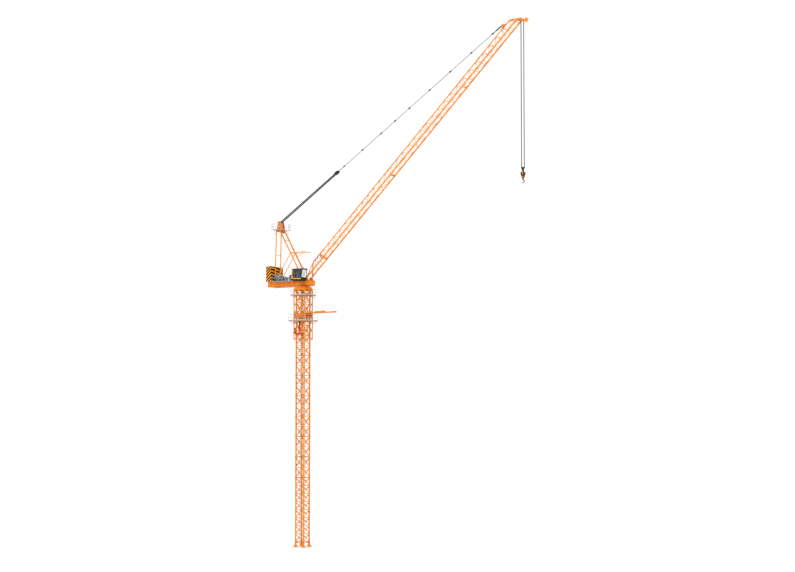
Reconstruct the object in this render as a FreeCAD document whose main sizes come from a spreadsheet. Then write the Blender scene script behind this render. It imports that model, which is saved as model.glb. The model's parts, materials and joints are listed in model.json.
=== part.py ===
"""Luffing-jib tower crane, a 1:10 scale model: lattice mast, climbing cage, slewing deck, cab, A-frame and jib.

Frame: millimetres, +Z up along the mast's axis, +X along the jib, origin on the ground under the mast.
"""
import FreeCAD, Part
import os
from math import atan2, cos, degrees, hypot, radians, sin, sqrt

from FreeCAD import Rotation, Vector

doc = FreeCAD.newDocument("Crane")
sheet = doc.addObject("Spreadsheet::Sheet", "Sizes")

SIZES = {
    # mast
    "mast_width": 175,
    "mast_leg": 20,
    "mast_brace": 8,
    "lower_section": 625,
    "lower_sections": 2,
    "upper_section": 370,
    "upper_sections": 8,
    "top_section": 455,
    "foot_height": 90,
    "foot_plate": 70,
    "bolt_hole_radius": 4,
    "cleat_size": 22,
    # climbing cage
    "cage_width": 240,
    "cage_leg": 14,
    "cage_brace": 7,
    "cage_bottom": 3755,
    "work_platform_z": 4100,
    "work_platform_width": 390,
    "upper_platform_z": 4570,
    "upper_platform_width": 345,
    "plate_thickness": 6,
    "rail_height": 110,
    "rail_bar": 4,
    "beam_z": 4240,
    "beam_reach": 720,
    "beam_spacing": 60,
    # slewing deck
    "support_height": 60,
    "ring_radius": 100,
    "ring_gap": 0.4,
    "deck_height": 90,
    "deck_width": 190,
    "deck_rear": 745,
    "deck_front": 200,
    "girder_width": 24,
    "walkway_width": 75,
    # counterweight
    "weight_slabs": 4,
    "weight_slab": 29,
    "weight_width": 350,
    "weight_height": 285,
    "weight_front": 605,
    # operator's cab
    "cab_rear": 60,
    "cab_front": 150,
    "cab_lean": 35,
    "cab_width": 160,
    "cab_height": 197,
    "cab_inner_y": 120,
    "cab_wall": 7,
    "glass_thickness": 3,
    # A-frame
    "frame_width": 144,
    "front_leg": 18,
    "rear_leg": 16,
    "frame_brace": 10,
    "head_x": 520,
    "head_z": 5940,
    "head_platform_z": 5800,
    "head_platform_width": 310,
    # jib
    "pivot_x": 124,
    "pivot_z": 4880,
    "jib_angle": 43.6,
    "jib_length": 5975,
    "jib_width": 150,
    "jib_depth": 140,
    "jib_chord": 20,
    "jib_upper_chord": 15,
    "jib_lace": 6,
    "jib_foot_length": 500,
    "jib_bay": 166.667,
    "lug_along": 5690,
    "lug_above": 185,
    "pin_radius": 8,
    "pin_clearance": 0.5,
    # ropes, pulleys and hook
    "pulley_radius": 22,
    "rope_radius": 3,
    "hook_drop": 2458,
    "falls_length": 1500,
}
for row, (alias, value) in enumerate(SIZES.items(), start=1):
    sheet.set(f"A{row}", alias)
    sheet.set(f"B{row}", str(value))
    sheet.setAlias(f"B{row}", alias)
doc.recompute()

nodes = []


def size(alias):
    """A driving size from the sheet, as a number."""
    return float(sheet.get(alias))


def primitive(kind, name, **expressions):
    """A Part primitive whose properties follow expressions of the sheet's sizes."""
    item = doc.addObject(kind, name)
    for key, text in expressions.items():
        path = f".Placement.Base.{key}" if key in ("x", "y", "z") else key
        item.setExpression(path, text)
    return item


def box(name, length, width, height, x, y, z):
    """A box from its lowest corner; a bare word in an expression is a size of the sheet."""
    return primitive("Part::Box", name, Length=bind(length), Width=bind(width), Height=bind(height),
                     x=bind(x), y=bind(y), z=bind(z))


def bind(text):
    """Writes Sizes. before each alias in an expression."""
    words = []
    word = ""
    for letter in str(text) + " ":
        if letter.isalnum() or letter == "_":
            word += letter
            continue
        words.append("Sizes." + word if word in SIZES else word)
        words.append(letter)
        word = ""
    return "".join(words).strip()


def keep(item):
    """Marks a finished object as a node that is written out."""
    nodes.append(item)
    return item


def join(name, *items):
    """A node fused from primitives."""
    item = doc.addObject("Part::MultiFuse", name)
    item.Shapes = list(items)
    return keep(item)


def carve(name, base, *tools):
    """A node with the tools cut out of it."""
    cutter = tools[0]
    if len(tools) > 1:
        cutter = doc.addObject("Part::MultiFuse", name + "_cutter")
        cutter.Shapes = list(tools)
    item = doc.addObject("Part::Cut", name)
    item.Base = base
    item.Tool = cutter
    return keep(item)


def solid_node(name, shape, placement=None):
    """A node from a shape made by Part functions, for lattices and other slanted work."""
    item = doc.addObject("Part::Feature", name)
    item.Shape = shape
    if placement:
        item.Placement = placement
    return keep(item)


def bar(start, end, width, depth=None):
    """A straight bar of rectangular section between two points."""
    a = Vector(*start)
    run = Vector(*end) - a
    depth = depth or width
    shape = Part.makeBox(depth, width, run.Length, Vector(-depth / 2, -width / 2, 0))
    shape.Placement = FreeCAD.Placement(a, Rotation(Vector(0, 0, 1), run))
    return shape


def rod(start, end, radius):
    """A round rod between two points."""
    a = Vector(*start)
    run = Vector(*end) - a
    return Part.makeCylinder(radius, run.Length, a, run)


def plate(outline, y_low, y_high):
    """A plate in the XZ plane, from a list of (x, z) corners, between two values of y."""
    corners = [Vector(x, y_low, z) for x, z in outline]
    face = Part.Face(Part.makePolygon(corners + corners[:1]))
    return face.extrude(Vector(0, y_high - y_low, 0))


def fused(shapes):
    """One shape fused from many."""
    return shapes[0].multiFuse(shapes[1:])


def square(half, z, offset=0):
    """The four corners of a square at height z."""
    return [(-half, -half, z), (half, -half, z), (half, half, z), (-half, half, z)]


def ring(half, z, width):
    """Four level bars round a square."""
    corners = square(half, z)
    return [bar(corners[i], corners[(i + 1) % 4], width) for i in range(4)]


def crossed(half, z_low, z_high, width, sides=(0, 1, 2, 3)):
    """An X of two bars on each named side of a square tower, the second set just inside the first."""
    bars = []
    for side in sides:
        for lean, inset in ((0, 0), (1, width / 4)):
            low = square(half - inset, z_low)
            high = square(half - inset, z_high)
            bars.append(bar(low[(side + lean) % 4], high[(side + 1 - lean) % 4], width))
    return bars


def tower(name, z_low, z_high, panels, half, leg, brace, sides=(0, 1, 2, 3)):
    """A square lattice tower: four legs, a ring at each panel point and an X in each panel."""
    shapes = [bar(low, high, leg) for low, high in zip(square(half, z_low), square(half, z_high))]
    step = (z_high - z_low) / panels
    for i in range(panels + 1):
        z = min(max(z_low + i * step, z_low + brace / 2), z_high - brace / 2)
        shapes += ring(half, z, brace)
    for i in range(panels):
        low = z_low + i * step + brace
        shapes += crossed(half, low, low + step - 2 * brace, brace, sides)
    return solid_node(name, fused(shapes))


def railing(corners, z, height, width, gap_sides=()):
    """Posts at the corners and middles, with a top rail and a middle rail; a listed side is left open."""
    shapes = []
    count = len(corners)
    for i in range(count):
        (x1, y1), (x2, y2) = corners[i], corners[(i + 1) % count]
        shapes.append(bar((x1, y1, z), (x1, y1, z + height), width))
        if i in gap_sides:
            continue
        shapes.append(bar(((x1 + x2) / 2, (y1 + y2) / 2, z), ((x1 + x2) / 2, (y1 + y2) / 2, z + height), width))
        for share in (0.5, 1):
            level = z + height * share - width / 2
            shapes.append(bar((x1, y1, level), (x2, y2, level), width))
    return shapes


# ---------------------------------------------------------------- mast
half_mast = size("mast_width") / 2
leg = size("mast_leg")
brace = size("mast_brace")
lower_top = size("lower_section") * size("lower_sections")
upper_half = int(size("upper_sections")) // 2
middle_top = lower_top + size("upper_section") * upper_half
mast_top = lower_top + size("upper_section") * size("upper_sections")
support_bottom = mast_top + size("top_section")

foot_height = size("foot_height")
foot_plate = size("foot_plate")
feet = []
bolt_offset = foot_plate / 2 - 8
for x, y, _ in square(half_mast, 0):
    base = Part.makeBox(foot_plate, foot_plate, 8, Vector(x - foot_plate / 2, y - foot_plate / 2, 0))
    flare = Part.makeCone(foot_plate / 2 - 8, leg * 0.72, foot_height - 8, Vector(x, y, 8))
    corner = Vector(x + bolt_offset * (1 if x > 0 else -1), y + bolt_offset * (1 if y > 0 else -1), -1)
    bolt_hole = Part.makeCylinder(size("bolt_hole_radius"), 10, corner)
    feet.append(fused([base, flare]).cut(bolt_hole))
solid_node("base_feet", Part.makeCompound(feet))

tower("mast_lower", foot_height, lower_top, 8, half_mast, leg, brace)
tower("mast_middle", lower_top, middle_top, 2 * upper_half, half_mast, leg, brace)
tower("mast_upper", middle_top, mast_top, 2 * upper_half, half_mast, leg, brace)
tower("mast_top_section", mast_top, support_bottom, 2, half_mast, leg, brace)

inner = half_mast - leg / 2
platforms = []
for i in range(int(size("upper_sections")) - 2):
    z = lower_top + (i + 1) * size("upper_section") + brace
    deck = Part.makeBox(2 * inner, 2 * inner, 4, Vector(-inner, -inner, z))
    hatch = Part.makeBox(inner * 0.7, inner * 0.7, 4, Vector(inner * 0.2, inner * 0.2, z))
    platforms.append(deck.cut(hatch))
solid_node("mast_platforms", Part.makeCompound(platforms))

cleat = size("cleat_size")
cleats = []
for i in range(int(size("upper_sections")) - 1):
    z = lower_top + i * size("upper_section") + size("upper_section") * 0.62
    for x, y, side in ((-1, -1, -1), (1, -1, 1)):
        x0 = x * half_mast - side * (leg / 2)
        outline = [(x0, z), (x0 - side * cleat, z), (x0, z + 1.3 * cleat)]
        y0 = y * half_mast
        cleats.append(plate(outline, y0 - leg / 4, y0 + leg / 4))
solid_node("climbing_cleats", Part.makeCompound(cleats))

# ---------------------------------------------------------------- climbing cage
half_cage = size("cage_width") / 2
cage_leg = size("cage_leg")
cage_brace = size("cage_brace")
cage_bottom = size("cage_bottom")
work_z = size("work_platform_z")
upper_z = size("upper_platform_z")
beam_z = size("beam_z")
thick = size("plate_thickness")
levels = [cage_bottom + cage_brace / 2, (cage_bottom + work_z) / 2, work_z - cage_brace, work_z + 60,
          beam_z + 30, (beam_z + upper_z) / 2, upper_z - cage_brace, support_bottom - cage_brace / 2]
cage = [bar(low, high, cage_leg)
        for low, high in zip(square(half_cage, cage_bottom), square(half_cage, support_bottom))]
for z in levels:
    cage += ring(half_cage, z, cage_brace)
closed_sides = (0, 2, 3)
for low, high in zip(levels, levels[1:]):
    open_front = work_z < low < upper_z - 2 * cage_brace
    cage += crossed(half_cage, low, high, cage_brace, closed_sides if open_front else (0, 1, 2, 3))
reach = half_cage - half_mast - leg / 2
for z in (levels[0], levels[2], levels[-2]):
    for x, y, _ in square(1, 0):
        outer = (x * half_cage, y * half_cage, z)
        inner_end = (x * (half_mast + leg / 2 + 0.3), y * (half_mast + leg / 2 + 0.3), z)
        cage.append(bar(outer, inner_end, cage_brace))
solid_node("climbing_cage", fused(cage))


def cage_platform(name, alias_z, alias_width):
    """A square walkway round the cage, on the cage's ring."""
    outer = box(name + "_outer", alias_width, alias_width, "plate_thickness",
                f"-{alias_width} / 2", f"-{alias_width} / 2", alias_z)
    hole = box(name + "_hole", "cage_width + cage_leg + 0.6", "cage_width + cage_leg + 0.6",
               "plate_thickness * 3", "-(cage_width + cage_leg + 0.6) / 2",
               "-(cage_width + cage_leg + 0.6) / 2", f"{alias_z} - plate_thickness")
    return carve(name, outer, hole)


cage_platform("work_platform", "work_platform_z", "work_platform_width")
cage_platform("upper_platform", "upper_platform_z", "upper_platform_width")

rail_bar = size("rail_bar")
rail_height = size("rail_height")
brackets = []
for z, width in ((work_z, size("work_platform_width")), (upper_z, size("upper_platform_width"))):
    out = width / 2 - rail_bar
    for sign_x, sign_y in ((-1, -1), (1, -1), (1, 1), (-1, 1)):
        foot = (sign_x * half_cage, sign_y * half_cage, z - 60)
        tip = (sign_x * (out - 8), sign_y * (out - 8), z - cage_brace / 2)
        brackets.append(bar(foot, tip, cage_brace))
        level = (sign_x * half_cage, sign_y * half_cage, z - cage_brace / 2)
        brackets.append(bar(level, tip, cage_brace))
solid_node("platform_brackets", fused(brackets))
for name, z, width in (("work_railing", work_z, size("work_platform_width")),
                       ("upper_railing", upper_z, size("upper_platform_width"))):
    out = width / 2 - rail_bar
    corners = [(-out, -out), (out, -out), (out, out), (-out, out)]
    solid_node(name, fused(railing(corners, z + thick, rail_height, rail_bar)))

# the climbing cylinder stands on its crosshead on the -Y side, between the mast and the cage
cylinder_y = -(half_mast + half_cage) / 2 - 2
crosshead_z = cage_bottom + 95
cylinder_top = work_z - cage_brace * 1.5
cylinder = [
    rod((0, cylinder_y, crosshead_z + 20), (0, cylinder_y, crosshead_z + 120), 6),
    rod((0, cylinder_y, crosshead_z + 110), (0, cylinder_y, cylinder_top), 10),
    bar((-12, cylinder_y, cylinder_top - 8), (12, cylinder_y, cylinder_top - 8), 20, 16),
    bar((0, cylinder_y, cylinder_top - 8), (0, -half_cage, cylinder_top - 8), 16),
]
solid_node("climbing_cylinder", fused(cylinder))
crosshead = [
    bar((-half_mast + 4, cylinder_y, crosshead_z + 10), (half_mast - 4, cylinder_y, crosshead_z + 10), 18, 22),
    bar((-40, cylinder_y, crosshead_z + 24), (40, cylinder_y, crosshead_z + 24), 14, 16),
]
for sign in (-1, 1):
    crosshead.append(bar((sign * (half_mast - 4), cylinder_y, crosshead_z + 10),
                         (sign * (half_mast - 4), -half_mast - leg / 2 - 0.3, crosshead_z + 10), 14, 14))
solid_node("climbing_crosshead", fused(crosshead))

# the loading beam that carries a new mast section to the cage
beam_half = size("beam_spacing") / 2
beam_reach = size("beam_reach")
beam = []
for sign in (-1, 1):
    beam.append(bar((-half_cage, sign * beam_half, beam_z), (beam_reach, sign * beam_half, beam_z), 12, 16))
for x in (-half_cage, half_cage, (half_cage + beam_reach) / 2, beam_reach):
    beam.append(bar((x, -beam_half, beam_z), (x, beam_half, beam_z), 10))
for x in (-half_cage, half_cage):
    for sign in (-1, 1):
        beam.append(bar((x, sign * beam_half, beam_z), (x, sign * half_cage, beam_z), 10))
for sign in (-1, 1):
    beam.append(bar((half_cage, sign * half_cage, beam_z), (half_cage + 110, sign * beam_half, beam_z), 8))
solid_node("loading_beam", fused(beam))

trolley_rear = 270
trolley_front = 480
trolley_z = beam_z + 8
trolley = [
    Part.makeBox(trolley_front - trolley_rear, 2 * beam_half + 26, 16,
                 Vector(trolley_rear, -beam_half - 13, trolley_z)),
    Part.makeBox(26, 30, 14, Vector(trolley_front - 34, -15, trolley_z + 16)),
    Part.makeBox(trolley_front - trolley_rear - 40, 20, 8, Vector(trolley_rear + 20, -10, trolley_z + 16)),
]
for x in (trolley_rear + 25, trolley_front - 25):
    for sign in (-1, 1):
        trolley.append(rod((x, sign * (beam_half + 7), trolley_z), (x, sign * (beam_half + 13), trolley_z), 10))
solid_node("loading_trolley", fused(trolley))

stay_top = (half_cage, upper_z - cage_brace)
stays = []
for x_end in (half_cage + 60, (half_cage + beam_reach) / 2, beam_reach - 60):
    for sign in (-1, 1):
        stays.append(rod((stay_top[0] + cage_leg / 2, sign * beam_half, stay_top[1]),
                         (x_end, sign * (beam_half + 1), beam_z + 8), 1.5))
solid_node("beam_stays", Part.makeCompound(stays))

# ---------------------------------------------------------------- slewing support and deck
support_height = size("support_height")
support = primitive("Part::Wedge", "slewing_support_flare",
                    Xmin="-(Sizes.cage_width + 16) / 2", Xmax="(Sizes.cage_width + 16) / 2",
                    Zmin="-(Sizes.cage_width + 16) / 2", Zmax="(Sizes.cage_width + 16) / 2",
                    X2min="-Sizes.cage_width / 2 + 12", X2max="Sizes.cage_width / 2 - 12",
                    Z2min="-Sizes.cage_width / 2 + 12", Z2max="Sizes.cage_width / 2 - 12",
                    Ymin="0", Ymax="Sizes.support_height")
support.Placement.Rotation = Rotation(Vector(1, 0, 0), 90)
SUPPORT_BOTTOM = "lower_section * lower_sections + upper_section * upper_sections + top_section"
support.setExpression(".Placement.Base.z", bind(SUPPORT_BOTTOM))
lower_ring = primitive("Part::Cylinder", "slewing_ring_lower", Radius="Sizes.ring_radius", Height="12",
                       z=bind(f"{SUPPORT_BOTTOM} + support_height"))
join("slewing_support", support, lower_ring)

DECK = f"{SUPPORT_BOTTOM} + support_height + 12 + ring_gap + 10"
deck_z = support_bottom + support_height + 12 + size("ring_gap") + 10
deck_top = deck_z + size("deck_height")
upper_ring = primitive("Part::Cylinder", "slewing_ring_upper", Radius="Sizes.ring_radius", Height="10",
                       z=bind(f"{DECK} - 10"))
floor = box("deck_floor", "deck_rear + deck_front", "deck_width", "8", "-deck_rear", "-deck_width / 2", DECK)
girders = []
for label, y in (("near", "-deck_width / 2"), ("far", "deck_width / 2 - girder_width")):
    girders.append(box("girder_" + label, "deck_rear + deck_front", "girder_width", "deck_height",
                       "-deck_rear", y, DECK))
front_box = box("deck_front_box", "deck_front + 60", "deck_width", "deck_height", "-60", "-deck_width / 2", DECK)
rear_box = box("deck_rear_box", "12", "deck_width", "deck_height", "-deck_rear", "-deck_width / 2", DECK)
cross = box("deck_cross_beam", "20", "deck_width", "deck_height", "-deck_rear / 2", "-deck_width / 2", DECK)
top_plate = box("deck_top_plate", "deck_rear", "deck_width", "plate_thickness", "-deck_rear", "-deck_width / 2",
                f"{DECK} + deck_height - plate_thickness")
deck_frame = doc.addObject("Part::MultiFuse", "deck_frame")
deck_frame.Shapes = [upper_ring, floor, *girders, front_box, rear_box, cross, top_plate]
floor_holes = [box(f"floor_hole_{place}", "160", "deck_width / 2", "12", x, "-deck_width / 4", f"{DECK} - 2")
               for place, x in (("rear", "-deck_rear * 0.85"), ("front", "-deck_rear * 0.4"))]
carve("slewing_deck", deck_frame, *floor_holes)

walkways = []
for label, y, front in (("near", "-deck_width / 2 - walkway_width", "80"),
                        ("far", "deck_width / 2", "-deck_front + 60")):
    walkways.append(box("walkway_" + label, f"deck_rear - 40 - ({front})", "walkway_width", "plate_thickness",
                        "-deck_rear + 40", y, f"{DECK} + deck_height - plate_thickness"))
for index in range(5):
    x = f"-deck_rear + 60 + {index} * 135"
    walkways.append(box(f"walkway_bracket_{index}", "8", "deck_width + 2 * walkway_width - 10", "10", x,
                        "-deck_width / 2 - walkway_width + 5",
                        f"{DECK} + deck_height - plate_thickness - 10"))
bridge = doc.addObject("Part::MultiFuse", "walkway_plates")
bridge.Shapes = walkways
core = box("walkway_core", "deck_rear * 2", "deck_width", "40", "-deck_rear - 10", "-deck_width / 2",
           f"{DECK} + deck_height - 30")
carve("deck_walkways", bridge, core)

# lugs that carry the jib's foot, two to a side, with a pin across each pair
pivot_x = size("pivot_x")
pivot_z = size("pivot_z")
pin = size("pin_radius")
eye_radius = pin * 2.5
half_jib = size("jib_width") / 2
eye_half = 12
lugs = []
for sign in (-1, 1):
    centre = sign * half_jib
    for y in (centre - eye_half - 8, centre + eye_half + 3):
        outline = [(pivot_x - 40, deck_top), (pivot_x + 40, deck_top),
                   (pivot_x + eye_radius, pivot_z), (pivot_x - eye_radius, pivot_z)]
        lugs.append(plate(outline, y, y + 5))
        lugs.append(rod((pivot_x, y, pivot_z), (pivot_x, y + 5, pivot_z), eye_radius))
    lugs.append(rod((pivot_x, centre - eye_half - 12, pivot_z), (pivot_x, centre + eye_half + 12, pivot_z), pin))
solid_node("jib_foot_lugs", fused(lugs))

# ---------------------------------------------------------------- counterweight and machinery
slabs = []
for i in range(int(size("weight_slabs"))):
    slabs.append(box(f"weight_slab_{i}", "weight_slab", "weight_width", "weight_height",
                     f"-weight_front - {i + 1} * (weight_slab + 1)", "-weight_width / 2",
                     f"{DECK} + deck_height"))
stack = doc.addObject("Part::Compound", "counterweight")
stack.Links = slabs
keep(stack)


def winch(name, x, radius, length):
    """A rope winch: bed, two cheek frames, grooved drum, motor and gearbox."""
    z = deck_top + radius + 14
    drum = rod((x, -length / 2, z), (x, length / 2, z), radius)
    flanges = [rod((x, y, z), (x, y + 4, z), radius + 8) for y in (-length / 2, length / 2 - 4)]
    bed = Part.makeBox(2 * radius + 20, length + 30, 8, Vector(x - radius - 10, -length / 2 - 15, deck_top))
    cheeks = [plate([(x - radius, deck_top), (x + radius, deck_top), (x + 12, z + 14), (x - 12, z + 14)], y, y + 6)
              for y in (-length / 2 - 8, length / 2 + 2)]
    motor = rod((x, -length / 2 - 34, z), (x, -length / 2, z), radius * 0.6)
    gearbox = Part.makeBox(radius, 16, radius * 1.2, Vector(x - radius / 2, length / 2 + 6, deck_top + 8))
    return solid_node(name, fused([drum, *flanges, bed, *cheeks, motor, gearbox]))


winch("luffing_winch", -430, 34, 90)
winch("hoist_winch", -235, 44, 100)
power = box("power_box", "60", "130", "95", "-weight_front + 22", "-65", f"{DECK} + deck_height")
cooler = box("power_cooler", "44", "70", "60", "-150", "-35", f"{DECK} + deck_height")
join("power_cabinet", power, cooler)

# ---------------------------------------------------------------- operator's cab


def cab_wedge(name, inset):
    """The cab's outline, leaning forward at the top, inset evenly all round."""
    shell = primitive(
        "Part::Wedge", name,
        Xmin=bind(f"-cab_rear + ({inset})"), Xmax=bind(f"cab_front - ({inset})"),
        X2min=bind(f"-cab_rear + ({inset})"), X2max=bind(f"cab_front + cab_lean - ({inset})"),
        Zmin=bind(f"cab_inner_y + ({inset})"), Zmax=bind(f"cab_inner_y + cab_width - ({inset})"),
        Z2min=bind(f"cab_inner_y + ({inset})"), Z2max=bind(f"cab_inner_y + cab_width - ({inset})"),
        Ymin=bind(inset), Ymax=bind(f"cab_height - ({inset})"))
    shell.Placement.Rotation = Rotation(Vector(1, 0, 0), 90)
    shell.setExpression(".Placement.Base.z", bind(f"{DECK} + deck_height + 2"))
    return shell


CAB = f"{DECK} + deck_height + 2"
outer = cab_wedge("cab_outer", "0")
hollow = cab_wedge("cab_hollow", "cab_wall")
openings = [
    box("cab_side_window", "cab_rear + cab_front - 50", "cab_width + 20", "cab_height - 80",
        "-cab_rear + 30", "-cab_inner_y - cab_width - 10", f"{CAB} + 50"),
    box("cab_front_window", "cab_lean + 60", "cab_width - 28", "cab_height - 60",
        "cab_front - 20", "-cab_inner_y - cab_width + 14", f"{CAB} + 40"),
]
carve("cab_shell", outer, hollow, *openings)

glass_outer = cab_wedge("glass_outer", "cab_wall / 2 - glass_thickness / 2")
glass_hollow = cab_wedge("glass_hollow", "cab_wall / 2 + glass_thickness / 2")
panes = doc.addObject("Part::Cut", "glass_skin")
panes.Base = glass_outer
panes.Tool = glass_hollow
holes = doc.addObject("Part::MultiFuse", "glass_openings")
holes.Shapes = openings
cab_glass = doc.addObject("Part::Common", "cab_glass")
cab_glass.Base = panes
cab_glass.Tool = holes
keep(cab_glass)

carrier = box("cab_carrier_beams", "cab_rear + cab_front - 20", "cab_inner_y + cab_width - deck_width / 2 - 8", "20",
              "-cab_rear + 10", "-cab_inner_y - cab_width + 8", f"{DECK} + deck_height - 18")
keep(carrier)
carrier.Label = "cab_carrier"

# ---------------------------------------------------------------- A-frame
half_frame = size("frame_width") / 2
head_x = -size("head_x")
head_z = size("head_z")
platform_z = size("head_platform_z")
front_foot = (61, deck_top)
front_top = (head_x + 45, head_z - 170)
rear_foot = (-590, deck_top)
rear_top = (head_x - 45, head_z - 124)
spread = half_frame + 8


def along(start, end, z):
    """The x of a leg at height z."""
    return start[0] + (end[0] - start[0]) * (z - start[1]) / (end[1] - start[1])


front_leg = size("front_leg")
frame_brace = size("frame_brace")
legs = []
for sign in (-1, 1):
    y = sign * half_frame
    legs.append(bar((front_foot[0], y, front_foot[1]), (front_top[0], y, front_top[1]), front_leg))
    legs.append(Part.makeBox(60, 26, 14, Vector(front_foot[0] - 30, y - 13, deck_top)))
for z in (deck_top + 210, deck_top + 520, deck_top + 770):
    x = along(front_foot, front_top, z)
    legs.append(bar((x, -half_frame, z), (x, half_frame, z), frame_brace))
solid_node("front_legs", fused(legs))

legs = []
for sign in (-1, 1):
    legs.append(bar((rear_foot[0], sign * spread, rear_foot[1]), (rear_top[0], sign * half_frame, rear_top[1]),
                    size("rear_leg")))
for z in (deck_top + 500,):
    x = along(rear_foot, rear_top, z)
    legs.append(bar((x, -spread, z), (x, spread, z), frame_brace))
solid_node("rear_legs", fused(legs))

knee_z = deck_top + 520
knee_x = along(front_foot, front_top, knee_z)
braces = []
for sign in (-1, 1):
    low = (rear_foot[0] + 14, sign * spread, deck_top + 20)
    braces.append(bar((knee_x, sign * half_frame, knee_z), low, frame_brace))
solid_node("frame_braces", Part.makeCompound(braces))

stop_tip = pivot_x - 6
arms = []
for sign in (-1, 1):
    y = sign * half_frame
    arms.append(bar((knee_x, y, knee_z + 6), (stop_tip - 24, y, knee_z + 6), 12))
    arms.append(bar((knee_x + 40, y, knee_z - 60), (knee_x + 190, y, knee_z + 4), 7))
    arms.append(rod((stop_tip - 26, y, knee_z + 6), (stop_tip, y, knee_z + 6), 7))
    arms.append(bar((along(front_foot, front_top, knee_z - 60), y, knee_z - 60),
                    (knee_x + 42, y, knee_z - 60), 7))
solid_node("backstop_arms", fused(arms))

head = []
cheek = half_frame - 24
for sign in (-1, 1):
    y = sign * cheek
    low = min(y, y + sign * 6)
    outline = [(front_top[0] + 14, front_top[1] - 26), (front_top[0] + 4, head_z - 60), (head_x + 26, head_z + 24),
               (head_x - 26, head_z + 24), (rear_top[0] - 12, rear_top[1] - 10), (rear_top[0] - 4, front_top[1])]
    head.append(plate(outline, low, low + 6))
    head.append(bar((front_top[0] - 2, y, front_top[1] - 8), (front_top[0] - 2, sign * (half_frame + 6),
                    front_top[1] - 8), 16))
    head.append(bar((rear_top[0] + 2, y, rear_top[1] - 8), (rear_top[0] + 2, sign * (half_frame + 6),
                    rear_top[1] - 8), 14))
for x, z in ((front_top[0] - 4, front_top[1] - 8), (rear_top[0] + 4, rear_top[1] - 14), (head_x + 30, head_z - 66)):
    head.append(rod((x, -cheek, z), (x, cheek, z), 6))
head.append(rod((front_top[0] + 2, -cheek + 6, front_top[1] - 6), (front_top[0] + 2, cheek - 6, front_top[1] - 6), 18))
head.append(rod((head_x + 30, -cheek + 6, head_z - 66), (head_x + 30, cheek - 6, head_z - 66), 20))
solid_node("a_frame_head", fused(head))

half_platform = size("head_platform_width") / 2
platform_rear = head_x - 110
platform_front = head_x + 110
walk_inner = half_frame + 14
head_decks = []
rails = []
for sign in (-1, 1):
    low = min(sign * walk_inner, sign * half_platform)
    head_decks.append(Part.makeBox(platform_front - platform_rear, half_platform - walk_inner, 5,
                                   Vector(platform_rear, low, platform_z)))
    corners = [(platform_rear + 3, sign * (walk_inner + 3)), (platform_rear + 3, sign * (half_platform - 3)),
               (platform_front - 3, sign * (half_platform - 3)), (platform_front - 3, sign * (walk_inner + 3))]
    rails += railing(corners, platform_z + 5, rail_height, rail_bar, gap_sides=(3,))
for x in (rear_top[0] + 2, head_x + 30):
    for sign in (-1, 1):
        head_decks.append(bar((x, sign * (cheek + 6), platform_z - 6), (x, sign * (half_platform - 6), platform_z - 6),
                              12))
solid_node("head_platforms", fused(head_decks))
solid_node("head_railing", Part.makeCompound([fused(rails[:len(rails) // 2]), fused(rails[len(rails) // 2:])]))

# ---------------------------------------------------------------- jib, drawn level along +X and then raised
jib_angle = size("jib_angle")
raised = FreeCAD.Placement(Vector(pivot_x, 0, pivot_z), Rotation(Vector(0, -1, 0), jib_angle))
chord = size("jib_chord")
upper_chord = size("jib_upper_chord")
depth = size("jib_depth")
lace = size("jib_lace")
foot_length = size("jib_foot_length")
bay = size("jib_bay")
jib_length = size("jib_length")


def jib_section(start, end, upper_end=None):
    """The bars of a length of jib: two lower chords, one upper chord and zigzag lacing on three sides."""
    upper_end = upper_end or end
    shapes = []
    bays = max(1, round((end - start) / bay))
    step = (end - start) / bays
    for sign in (-1, 1):
        shapes.append(bar((start, sign * half_jib, 0), (end, sign * half_jib, 0), chord))
    shapes.append(bar((start, 0, depth), (upper_end, 0, depth), upper_chord))
    for x in (start + chord / 2, end - chord / 2):
        shapes.append(bar((x, -half_jib, 0), (x, half_jib, 0), lace * 1.6))
    for i in range(bays):
        x = start + i * step
        top = x + step / 2
        for sign in (-1, 1):
            if top < upper_end:
                shapes.append(bar((x, sign * half_jib, 0), (top, 0, depth), lace))
                shapes.append(bar((top, 0, depth), (x + step, sign * half_jib, 0), lace))
        lean = 1 if i % 2 else -1
        shapes.append(bar((x, lean * half_jib, 0), (x + step, -lean * half_jib, 0), lace))
    return shapes


foot_frame = foot_length - 26
knee = foot_frame - 204
foot = []
for sign in (-1, 1):
    y = sign * half_jib
    foot.append(bar((eye_radius * 0.6, y, 0), (foot_length, y, 0), chord))
    foot.append(rod((0, y - eye_half, 0), (0, y + eye_half, 0), eye_radius))
    foot.append(bar((foot_frame, y, 0), (foot_frame, 0, depth), upper_chord))
    foot.append(bar((knee, 0, depth), (eye_radius + 22, y, 8), upper_chord))
    for i in range(3):
        x = knee + (foot_frame - knee) * i / 3
        foot.append(bar((x, 0, depth), (x - 40, y, 0), lace))
foot.append(bar((knee - 6, 0, depth), (foot_length, 0, depth), upper_chord))
for x in (foot_length - chord / 2, 120):
    foot.append(bar((x, -half_jib, 0), (x, half_jib, 0), lace * 2))
for i in range(2):
    x = 130 + i * 170
    lean = 1 if i % 2 else -1
    foot.append(bar((x, lean * half_jib, 0), (x + 170, -lean * half_jib, 0), lace))
foot_shape = fused(foot)
for sign in (-1, 1):
    y = sign * half_jib
    hole = rod((0, y - eye_half - 1, 0), (0, y + eye_half + 1, 0), pin + size("pin_clearance"))
    foot_shape = foot_shape.cut(hole)
solid_node("jib_foot", foot_shape, raised)

cuts = [foot_length, foot_length + 2000, foot_length + 4000, jib_length - 75]
solid_node("jib_lower", fused(jib_section(cuts[0], cuts[1])), raised)
solid_node("jib_middle", fused(jib_section(cuts[1], cuts[2])), raised)
solid_node("jib_upper", fused(jib_section(cuts[2], cuts[3], cuts[3] - 70)), raised)

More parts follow.
